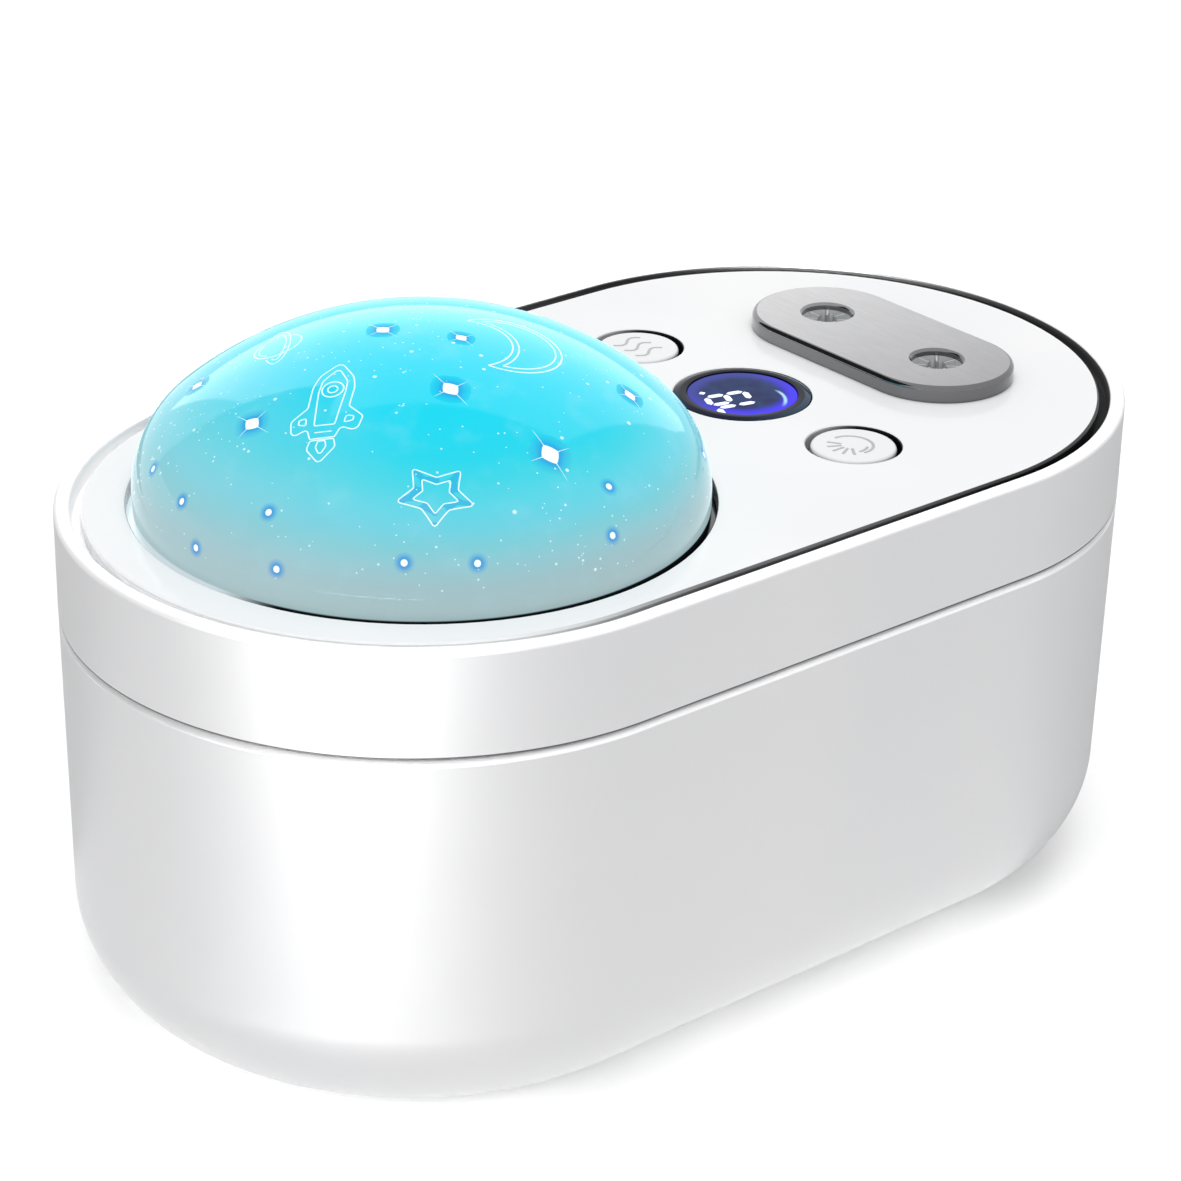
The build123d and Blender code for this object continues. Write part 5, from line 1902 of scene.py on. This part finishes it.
        outline = both([
            (0.5, 16.6, 0.4), (2.9, 13.7, 3.0), (3.45, 11.0, 4.0), (3.25, 6.6, 0.5),
            (5.6, 3.9, 0.8), (5.0, 0.7, 0.8), (2.6, 2.2, 0.5), (1.9, 0.1, 0.2),
        ])
        inner = both([(0.35, 15.2, 0.2), (2.1, 12.6, 1.5), (2.2, 10.0, 3.0), (1.6, 2.8, 0.2)])
        flame = both([(1.8, -0.2, 0.1), (2.2, -1.9, 0.8), (0.3, -4.5, 0.3)])
        spark = both([(0.55, -0.4, 0.1), (0.8, -1.6, 0.3), (0.2, -2.9, 0.1)])
        ring = [arc((0.0, 10.7), radius, 0, 360, 24) for radius in (1.8, 0.85)]
        corners = [(-0.65, 0.5, 0.15), (0.5, 0.8, 0.15), (0.7, -0.7, 0.15), (-0.6, -0.5, 0.15)]
        mark = rounded(corners, closed=True, tolerance=0.03)
        marks = [[(side * (3.6 - x), 3.7 + y) for x, y in mark] for side in (-1, 1)]
        band = [(-1.3, 1.4), (1.3, 1.4)]
        return [laid(line) for line in (outline, inner, flame, spark, *ring, *marks, band)]

    def planet(self) -> list[list[Point]]:
        """A planet with a tilted ring that passes behind it."""
        centre = (-15.2, 12.7)
        tilt = math.radians(50.0)

        def ring(long: float, short: float, start: float, end: float) -> list[Point]:
            """Part of the tilted ring."""
            points = []
            for degrees in range(int(start), int(end) + 1, 8):
                angle = math.radians(degrees)
                x = long * math.cos(angle)
                y = short * math.sin(angle)
                points.append((centre[0] + x * math.cos(tilt) - y * math.sin(tilt),
                               centre[1] + x * math.sin(tilt) + y * math.cos(tilt)))
            return points

        return [
            arc(centre, 3.3, 0, 360, 12),
            arc(centre, 2.6, 100, 200, 12),
            ring(5.6, 1.7, 130, 410),
            ring(4.5, 1.05, 150, 390),
        ]

    def crescent(self) -> list[list[Point]]:
        """A crescent moon in a double line."""
        centre = (6.9, -9.7)
        bite_centre = (1.4, -7.1)
        apart = math.dist(centre, bite_centre)
        along = math.degrees(math.atan2(bite_centre[1] - centre[1], bite_centre[0] - centre[0]))
        back = along + 180

        def half_angle(own: float, other: float) -> float:
            """Half the angle of a circle's arc that lies inside the other circle."""
            return math.degrees(math.acos((own ** 2 + apart ** 2 - other ** 2) / (2 * own * apart)))

        lines = []
        for margin in (0.0, 0.85):
            radius = 7.65 - margin
            bite_radius = 6.9 + margin
            half = half_angle(radius, bite_radius)
            inner = half_angle(bite_radius, radius)
            outer_arc = arc(centre, radius, along + half, along + 360 - half, 6)
            lines.append(outer_arc + arc(bite_centre, bite_radius, back + inner, back - inner, 6))
        return lines

    def star(self) -> list[list[Point]]:
        """A five-pointed star in a double line."""
        lines = [self.star_line(share) for share in (1.0, self.star_inner)]
        return [[(x, y) for x, y, _ in line] for line in lines]

    def star_line(self, share: float, lift: float = 0.0) -> list[Place]:
        """The star's outline with rounded points.

        Args:
            share: How large it is drawn, as a share of the whole star.
            lift: How far it stands off the dome.

        Returns:
            The points about the dome's axis, with their heights.
        """
        corners = []
        for n in range(10):
            reach = self.star_reach * (1 if n % 2 == 0 else self.star_notch)
            x, y = on_circle((0.0, 0.0), reach, 270 + 36 * n)
            corners.append((x, y * self.star_height, 0.3 if n % 2 == 0 else 0.15))
        outline = rounded(corners, closed=True, tolerance=0.01)
        figure = [(x * share, y * share) for x, y in outline]
        return self.wrapped(figure, self.star_centre, self.star_bearing, lift)

    def star_fill(self) -> Piece:
        """A thin blue band between the star's two outlines."""
        lift = self.fill_lift - self.inset
        rings = [
            self.star_line(1.0, -self.fill_depth),
            self.star_line(1.0 - self.fill_margin, lift),
            self.star_line(self.star_inner + self.fill_margin, lift),
            self.star_line(self.star_inner, -self.fill_depth),
        ]
        count = len(rings[0]) - 1
        points = [(x + self.centre[0], y + self.centre[1], z) for ring in rings for x, y, z in ring[:count]]
        faces = []
        for ring in range(len(rings)):
            after = (ring + 1) % len(rings)
            for n in range(count):
                step = (n + 1) % count
                faces.append((ring * count + n, ring * count + step, after * count + step, after * count + n))
        piece = new_object("star_fill", mesh_of("star_fill", points, faces=faces))
        smooth(piece, SOFT_EDGE)
        give_attribute(piece.data, HALO, [self.fill_halo] * len(piece.data.vertices))
        give_attribute(piece.data, SPARK, [0.0] * len(piece.data.vertices))
        return piece

    def specks(self, shop: Workshop, lens: Piece) -> Piece:
        """Fine points of light all over the dome."""
        shape = DrapedShape()
        shape.add_rings([
            (circle(0.26, 6), -0.006, 0.0, 0.15),
            (circle(0.14, 6), 0.016, 0.0, 0.48),
        ], 0.3)
        helper = shape.object("speck_shape")
        piece = new_object("dome_specks", lens.data.copy())
        shop.specks.run(piece, DOME_GLOW, {
            "Shape": helper,
            "Density": self.speck_density,
            "Lowest": self.speck_lowest * MM,
            "Seed": self.seed,
        })
        remove_object(helper)
        smooth(piece, SOFT_EDGE)
        return piece


@dataclass
class Lamp:
    """The lamp under the dome: reflector, board, chips, motor and the turning ripple disc."""

    def build(self, shop: Workshop) -> None:
        """Dress the lamp's pieces."""
        for node in ("lamp_reflector", "led_board", "led_chips", "lamp_screws", "disc_motor", "motor_bracket",
                     "motor_screws", "motor_shaft", "ripple_disc"):
            finished_copy(node)


class Sign(Enum):
    """What is marked on a button."""

    LIGHT = "light"
    MIST = "mist"


@dataclass
class Controls:
    """The two push buttons with their signs, and the boards and switches under them."""

    edge: float = 0.55
    cap_radius: float = 6.3
    flange_thickness: float = 1.0
    flange_drop: float = 2.4
    stem_radius: float = 2.0
    line_width: float = 0.5
    line_rise: float = 0.12
    shade_drop: float = 0.1

    def build(self, shop: Workshop) -> None:
        """Make both buttons and dress what lies under them."""
        for sign in Sign:
            self.button(shop, sign)
            finished_copy(f"{sign.value}_plunger")
            finished_copy(f"{sign.value}_switch")
        for node in ("main_board", "board_screws", "board_chips"):
            finished_copy(node)

    def button(self, shop: Workshop, sign: Sign) -> None:
        """One button: a turned cap with raised lines on it."""
        node = f"{sign.value}_button"
        low, high = boxed(node)
        centre = middle_of(low, high)
        flange_top = high.z - self.flange_drop
        profile = rounded([
            (0.0, high.z),
            (self.cap_radius, high.z, self.edge),
            (self.cap_radius, flange_top),
            (high.x - centre[0], flange_top),
            (high.x - centre[0], flange_top - self.flange_thickness),
            (self.stem_radius, flange_top - self.flange_thickness),
            (self.stem_radius, low.z),
            (0.0, low.z),
        ])
        white = ButtonPlastic(
            f"{node}_white",
            colour=(0.86, 0.86, 0.865),
            roughness=0.3,
            shine=0.3,
            centre=centre,
            cap_level=high.z - self.edge - self.shade_drop,
            radius=self.cap_radius,
        )
        cap = shop.turn(f"{node}_cap", profile, white, centre, steps=128)
        lines = self.light_sign() if sign is Sign.LIGHT else self.mist_sign()
        placed = [[(x + centre[0], y + centre[1]) for x, y in line] for line in lines]
        marks = shop.draw(f"{node}_sign", placed, cap, SIGN_GREY, self.line_width, self.line_rise)
        dress(marks, SIGN_GREY, node)
        dress(cap, white, node, [node])

    def light_sign(self) -> list[list[Point]]:
        """A half round lamp with five rays."""
        centre = (-0.4, 0.2)
        lines = [arc(centre, 3.3, -96, 90, 6), arc((centre[0] - 0.2, centre[1] - 0.1), 2.5, -100, -50, 6)]
        for degrees in (124, 152, 180, 208, 236):
            lines.append([on_circle(centre, 1.4, degrees), on_circle(centre, 3.5, degrees)])
        return lines

    def mist_sign(self) -> list[list[Point]]:
        """Three waves side by side."""
        length = 5.4
        spacing = 2.6
        swing = 0.8
        shares = [n / 18 for n in range(19)]
        wave = [(length * (share - 0.5), -swing * math.sin(math.tau * share)) for share in shares]
        return [[(x, row * spacing + y) for x, y in wave] for row in (-1, 0, 1)]


@dataclass
class Display:
    """The round display: a bezel, dark glass with a lit ring, a two-figure number and its module."""

    bevel_width: float = 0.9
    bevel_drop: float = 0.25
    bezel_bore: float = 8.4
    bezel_radius: float = 10.3
    lip: float = 1.0
    flange_thickness: float = 1.0
    glass_edge: float = 0.15
    digit_height: float = 6.4
    digit_width: float = 3.1
    bar_width: float = 0.98
    bar_gap: float = 0.26
    bar_rise: float = 0.05
    up_angle: float = 165.5
    line_angle: float = 66.0
    digits: str = "79"
    digit_places: tuple[Point, ...] = ((-4.2, -4.3), (-3.0, -0.1))
    mark_place: Point = (-4.0, 3.5)
    mark_length: float = 1.6

    def build(self, shop: Workshop) -> None:
        """Make bezel, glass and figures."""
        low, high = boxed("display_bezel")
        glass_low, glass_high = boxed("display_window")
        centre = middle_of(low, high)
        flange_top = low.z + self.flange_thickness
        bezel = rounded([
            (self.bezel_bore - self.lip, low.z),
            (high.x - centre[0], low.z),
            (high.x - centre[0], flange_top),
            (self.bezel_radius, flange_top),
            (self.bezel_radius, high.z - self.bevel_drop, 0.1),
            (self.bezel_radius - self.bevel_width, high.z, 0.15),
            (self.bezel_bore, high.z, 0.1),
            (self.bezel_bore, flange_top),
            (self.bezel_bore - self.lip, flange_top),
        ], closed=True)
        black = BezelPlastic(
            "bezel_black", colour=(0.003, 0.004, 0.01), roughness=0.1, shine=0.1, centre=centre)
        ring = shop.turn("display_bezel_finished", bezel, black, centre, steps=160)
        dress(ring, black, "display_bezel", ["display_bezel"])
        radius = glass_high.x - centre[0]
        pane = rounded([
            (0.0, glass_high.z),
            (radius, glass_high.z, self.glass_edge),
            (radius, glass_low.z),
            (0.0, glass_low.z),
        ])
        glass = DisplayGlass("display_glass", centre=centre)
        window = shop.turn("display_glass", pane, glass, centre, steps=128)
        dress(window, glass, "display_window", ["display_window"])
        dress(self.figures(centre, glass_high.z), LIT_SIGN, "display_window")
        finished_copy("display_module")

    def figures(self, centre: Point, glass_top: float) -> Piece:
        """The number's bars, a little proud of the glass.

        Args:
            centre: The display's centre.
            glass_top: The glass's upper face.

        Returns:
            The bars as one piece.
        """
        up = on_circle((0.0, 0.0), 1.0, self.up_angle)
        along = on_circle((0.0, 0.0), 1.0, self.line_angle)
        half_w = self.digit_width / 2
        half_h = self.digit_height / 2
        ends = {
            "a": ((-half_w, half_h), (half_w, half_h)),
            "b": ((half_w, half_h), (half_w, 0.0)),
            "c": ((half_w, 0.0), (half_w, -half_h)),
            "d": ((-half_w, -half_h), (half_w, -half_h)),
            "e": ((-half_w, 0.0), (-half_w, -half_h)),
            "f": ((-half_w, half_h), (-half_w, 0.0)),
            "g": ((-half_w, 0.0), (half_w, 0.0)),
        }
        lit = {"7": "abc", "9": "abcdfg"}
        bars: list[tuple[Point, Point]] = []

        def laid(corner: Point, side: float, rise: float) -> Point:
            """A place on the glass, reached from a corner along the digits' own slanted axes."""
            return tuple(centre[n] + corner[n] + side * along[n] + rise * up[n] for n in (0, 1))

        for digit, corner in zip(self.digits, self.digit_places):
            for segment in lit[digit]:
                bars.append(tuple(laid(corner, *end) for end in ends[segment]))
        bars.append(tuple(laid(self.mark_place, 0.0, rise) for rise in (0.0, self.mark_length)))
        points: list[Place] = []
        faces: list[Face] = []
        for start, end in bars:
            self.add_bar(points, faces, Vector(start), Vector(end), glass_top)
        piece = new_object("display_number", mesh_of("display_number", points, faces=faces))
        smooth(piece, sharp_angle=20.0)
        return piece

    def add_bar(
        self,
        points: list[Place],
        faces: list[Face],
        start: Vector,
        end: Vector,
        glass_top: float,
    ) -> None:
        """Add one six-sided bar with pointed ends.

        Args:
            points: The mesh's points so far.
            faces: Its faces so far.
            start: One end, in plan.
            end: The other end.
            glass_top: The glass's upper face.
        """
        way = (end - start).normalized()
        side = Vector((-way.y, way.x)) * self.bar_width / 2
        start = start + way * self.bar_gap
        end = end - way * self.bar_gap
        slope = way * self.bar_width / 2
        right = [start + slope + side, end - slope + side]
        left = [end - slope - side, start + slope - side]
        outline = [start, *right, end, *left]
        first = len(points)
        for height in (glass_top - 3 * self.bar_rise, glass_top + self.bar_rise):
            points += [(place.x, place.y, height) for place in outline]
        faces.append(tuple(range(first, first + 6)))
        faces.append(tuple(range(first + 11, first + 5, -1)))
        faces += [(first + n, first + 6 + n, first + 6 + (n + 1) % 6, first + (n + 1) % 6) for n in range(6)]


@dataclass
class MistOutlet:
    """The plated cover with its two cones, the finned nozzles, and the mist makers under them."""

    edge: float = 0.8
    lower_edge: float = 0.2
    outlet_radius: float = 3.9
    outlet_flare: float = 0.4
    neck_radius: float = 4.85
    lip: float = 1.1

    def build(self, shop: Workshop) -> None:
        """Make the cover and dress the rest."""
        low, high = boxed("nozzle_cover")
        centre = (middle_of(low, high)[0], 0.0)
        reach = (high.x - low.x) / 2
        pitch = high.y - low.y - 2 * reach
        slab = rounded([
            (0.0, high.z),
            (reach, high.z, self.edge),
            (reach, low.z, self.lower_edge),
            (0.0, low.z),
        ])
        cover = shop.turn("outlet_cover", slab, PLATED_COVER, centre, spacing=pitch, quarter=True)
        hole = [
            (0.0, low.z - 1),
            (self.neck_radius, low.z - 1),
            (self.neck_radius, high.z - self.lip),
            (self.outlet_radius, high.z - self.lip),
            (self.outlet_radius, high.z - self.outlet_flare),
            (self.outlet_radius + 2 * self.outlet_flare, high.z + self.outlet_flare),
            (0.0, high.z + self.outlet_flare),
        ]
        places = [(centre[0], side * pitch / 2, 0.0) for side in (-1, 1)]
        shop.combine(cover, shop.turned_copies("outlet_holes", hole, places, steps=128), "DIFFERENCE")
        dress(cover, PLATED_COVER, "nozzle_cover", ["nozzle_cover"])
        for side in ("front", "rear"):
            finished_copy(f"{side}_nozzle")
            finished_copy(f"{side}_atomiser_seal")
            node = f"{side}_atomiser"
            finished_copy(node, PerforatedBrass(f"brass_{side}", centre=middle_of(*boxed(node))))


@dataclass
class WickSet:
    """The two wick tubes that hang into the tank, each with its cap, spring and wick."""

    def build(self, shop: Workshop) -> None:
        """Dress both tubes."""
        for side in ("front", "rear"):
            for piece in ("wick_tube", "wick_cap", "wick_spring", "wick"):
                finished_copy(f"{side}_{piece}")


@dataclass
class Supply:
    """The supply socket and its board."""

    def build(self, shop: Workshop) -> None:
        """Dress both."""
        finished_copy("usb_socket")
        finished_copy("usb_board")


# ---------------------------------------------------------------- studio


@dataclass
class Studio:
    """The pale room: floor, lamps, world and camera. Floor, cards and lamps are sized in metres."""

    azimuth: float = -40.33
    elevation: float = 25.63
    roll: float = 1.17
    distance: float = 555.0
    target: Place = (14.34, 20.83, 38.38)
    lens: float = 108.11
    sensor: float = 36.0
    floor_size: float = 12.0
    floor_roughness: float = 0.3
    floor_lift: float = 0.16
    floor_white: Colour = (0.86, 0.86, 0.86)
    floor_pale: Colour = (0.87, 0.87, 0.87)
    ambient: float = 0.55
    overhead: float = 3.3
    key: float = 430.0
    back: float = 1.7
    edges: float = 9.0
    walls: tuple[str, ...] = ("tank_finished", "lid_band")
    dome: tuple[str, ...] = ("dome_shell",)
    right_grey: float = 0.12
    left_grey: float = 0.35
    floor_card: Size = (0.3, 0.34)
    card_drop: float = 0.0002
    backdrop: Colour = (1.0, 1.0, 1.0)

    def build(self) -> None:
        """Make everything round the object."""
        self.camera()
        self.world()
        self.floor()
        self.lamps()
        bpy.context.scene.view_settings.view_transform = "Standard"

    def direction(self, azimuth: float, elevation: float) -> Vector:
        """The direction from the object to a viewer or a lamp, for angles in degrees."""
        around = math.radians(azimuth)
        up = math.radians(elevation)
        return Vector((math.sin(around) * math.cos(up), -math.cos(around) * math.cos(up), math.sin(up)))

    def camera(self) -> None:
        """A long lens that looks down on the front and the dome's end."""
        back = self.direction(self.azimuth, self.elevation)
        across = Vector((0, 0, 1)).cross(back).normalized()
        rise = back.cross(across)
        turn = math.radians(self.roll)
        right = across * math.cos(turn) + rise * math.sin(turn)
        up = rise * math.cos(turn) - across * math.sin(turn)
        place = (Vector(self.target) + back * self.distance) * MM
        data = bpy.data.cameras.new("camera")
        data.lens = self.lens
        data.sensor_width = self.sensor
        holder = bpy.data.objects.new("camera", data)
        axes = Matrix((right, up, back)).transposed().to_4x4()
        holder.matrix_world = Matrix.Translation(place) @ axes
        bpy.context.scene.collection.objects.link(holder)
        bpy.context.scene.camera = holder

    def world(self) -> None:
        """White for the camera, reflections and clear parts, and a soft grey light for the rest."""
        world = bpy.data.worlds.new("room")
        bpy.context.scene.world = world
        world.use_nodes = True
        world.node_tree.nodes.clear()
        nodes = Nodes(world.node_tree)
        seen = seen_directly(nodes)
        strength = self.ambient + (1 - self.ambient) * seen
        light = nodes.make("ShaderNodeBackground", {}, {"Color": self.backdrop, "Strength": strength})
        nodes.make("ShaderNodeOutputWorld", {}, {"Surface": light})

    def floor(self) -> None:
        """A white floor that takes the object's shadow and doesn't show in reflections."""
        mesh = self.sheet("floor", (self.floor_size, self.floor_size))
        floor = new_object("floor", mesh)
        material = bpy.data.materials.new("floor_white")
        material.use_nodes = True
        material.node_tree.nodes.clear()
        nodes = Nodes(material.node_tree)
        paper = nodes.principled({
            "Base Color": nodes.mix(nodes.noise(400.0), self.floor_white, self.floor_pale),
            "Roughness": self.floor_roughness,
            "Emission Color": nodes.mix(seen_directly(nodes), (0.0, 0.0, 0.0), (1.0, 1.0, 1.0)),
            "Emission Strength": self.floor_lift,
        })
        nodes.make("ShaderNodeOutputMaterial", {}, {"Surface": paper})
        mesh.materials.append(material)
        floor.visible_glossy = False

    def lamps(self) -> None:
        """A wide lamp overhead, and softboxes and dark cards that show in reflections alone."""
        overhead = self.softbox("overhead", -90, 88, distance=2.0, size=(1.5, 1.5), radiance=self.overhead)
        overhead.visible_glossy = False
        key = self.softbox("key", -147, 8, distance=1.5, size=(1.1, 0.5), radiance=self.key)
        back = self.softbox("back", 50, 35, distance=2.0, size=(2.6, 2.4), radiance=self.back)
        edges = self.softbox("edges", -90, 89, distance=1.5, size=(5.0, 5.0), radiance=self.edges)
        self.only_in_gloss(key, self.walls)
        self.only_in_gloss(edges, self.walls)
        self.only_in_gloss(back, self.dome)
        self.card("dark_card", BLACK_MATT, self.facing(132, 36, 1.6), (2.2, 1.7))
        width, height = self.floor_card
        turn = Matrix.Rotation(math.radians(self.azimuth), 4, "Z")
        for side, grey in ((1, self.right_grey), (-1, self.left_grey)):
            name = f"floor_card_{side + 1}"
            finish = MouldedPlastic(name, colour=(grey,) * 3, roughness=0.9, shine=0.0)
            place = turn @ Matrix.Translation((side * width / 2, height / 2, -self.card_drop))
            self.card(name, finish, place, self.floor_card)

    def only_in_gloss(self, lamp: Piece, pieces: Sequence[str]) -> None:
        """Show a lamp in the reflections of some pieces alone.

        Args:
            lamp: The lamp.
            pieces: The names of the pieces that mirror it.
        """
        lamp.visible_diffuse = False
        lit = bpy.data.collections.new(f"{lamp.name}_receivers")
        for name in pieces:
            lit.objects.link(bpy.data.objects[name])
        lamp.light_linking.receiver_collection = lit

    def facing(self, bearing: float, elevation: float, distance: float) -> Matrix:
        """A place and turn that faces the object.

        Args:
            bearing: Where it is in plan, in degrees from +X towards +Y.
            elevation: How high it is, in degrees.
            distance: How far off, in metres.

        Returns:
            The matrix, with +Z towards the far side.
        """
        back = self.direction(bearing + 90, elevation)
        turn = back.to_track_quat("Z", "Y").to_matrix().to_4x4()
        return Matrix.Translation(Vector((0, 0, 0.05)) + back * distance) @ turn

    def sheet(self, name: str, size: Size) -> bpy.types.Mesh:
        """A level rectangle about the origin, with its width and height in metres."""
        x, y = (length / 2 for length in size)
        mesh = bpy.data.meshes.new(name)
        mesh.from_pydata([(-x, -y, 0.0), (x, -y, 0.0), (x, y, 0.0), (-x, y, 0.0)], [], [(0, 1, 2, 3)])
        return mesh

    def card(self, name: str, finish: Finish, place: Matrix, size: Size) -> None:
        """Add a darker card that only shows in reflections.

        Args:
            name: Its name.
            finish: Its finish.
            place: Its place and turn.
            size: Its width and height in metres.
        """
        mesh = self.sheet(name, size)
        mesh.transform(place)
        card = new_object(name, mesh)
        mesh.materials.append(finish.material())
        for kind in ("camera", "diffuse", "transmission", "volume_scatter", "shadow"):
            setattr(card, f"visible_{kind}", False)

    def softbox(
        self,
        name: str,
        bearing: float,
        elevation: float,
        distance: float,
        size: Size,
        radiance: float,
    ) -> Piece:
        """Add one rectangular lamp that faces the object.

        Args:
            name: Its name.
            bearing: Where it stands in plan, in degrees from +X towards +Y.
            elevation: How high it stands, in degrees.
            distance: Its distance in metres.
            size: Its width and height in metres.
            radiance: How bright its face is, where lit white paper is about 1.

        Returns:
            The lamp.
        """
        data = bpy.data.lights.new(name, "AREA")
        data.shape = "RECTANGLE"
        data.size, data.size_y = size
        data.energy = radiance * math.pi * size[0] * size[1]
        holder = bpy.data.objects.new(name, data)
        holder.matrix_world = self.facing(bearing, elevation, distance)
        bpy.context.scene.collection.objects.link(holder)
        return holder


def seen_directly(nodes: Nodes) -> Value:
    """1 for rays from the camera, in reflections and through clear parts, and 0 for the rest."""
    camera = nodes.make("ShaderNodeLightPath", output="Is Camera Ray")
    gloss = camera.output("Is Glossy Ray")
    clear = camera.output("Is Transmission Ray")
    return camera.math("MAXIMUM", gloss).math("MAXIMUM", clear)


def main() -> None:
    """Build every sub-assembly and the studio."""
    logging.basicConfig(level=logging.INFO, format="%(message)s")
    shop = Workshop()
    for kind in (TankAssembly, LidCasing, Dome, Lamp, Controls, Display, MistOutlet, WickSet, Supply):
        kind().build(shop)
    Studio().build()


if __name__ == "__main__":
    main()
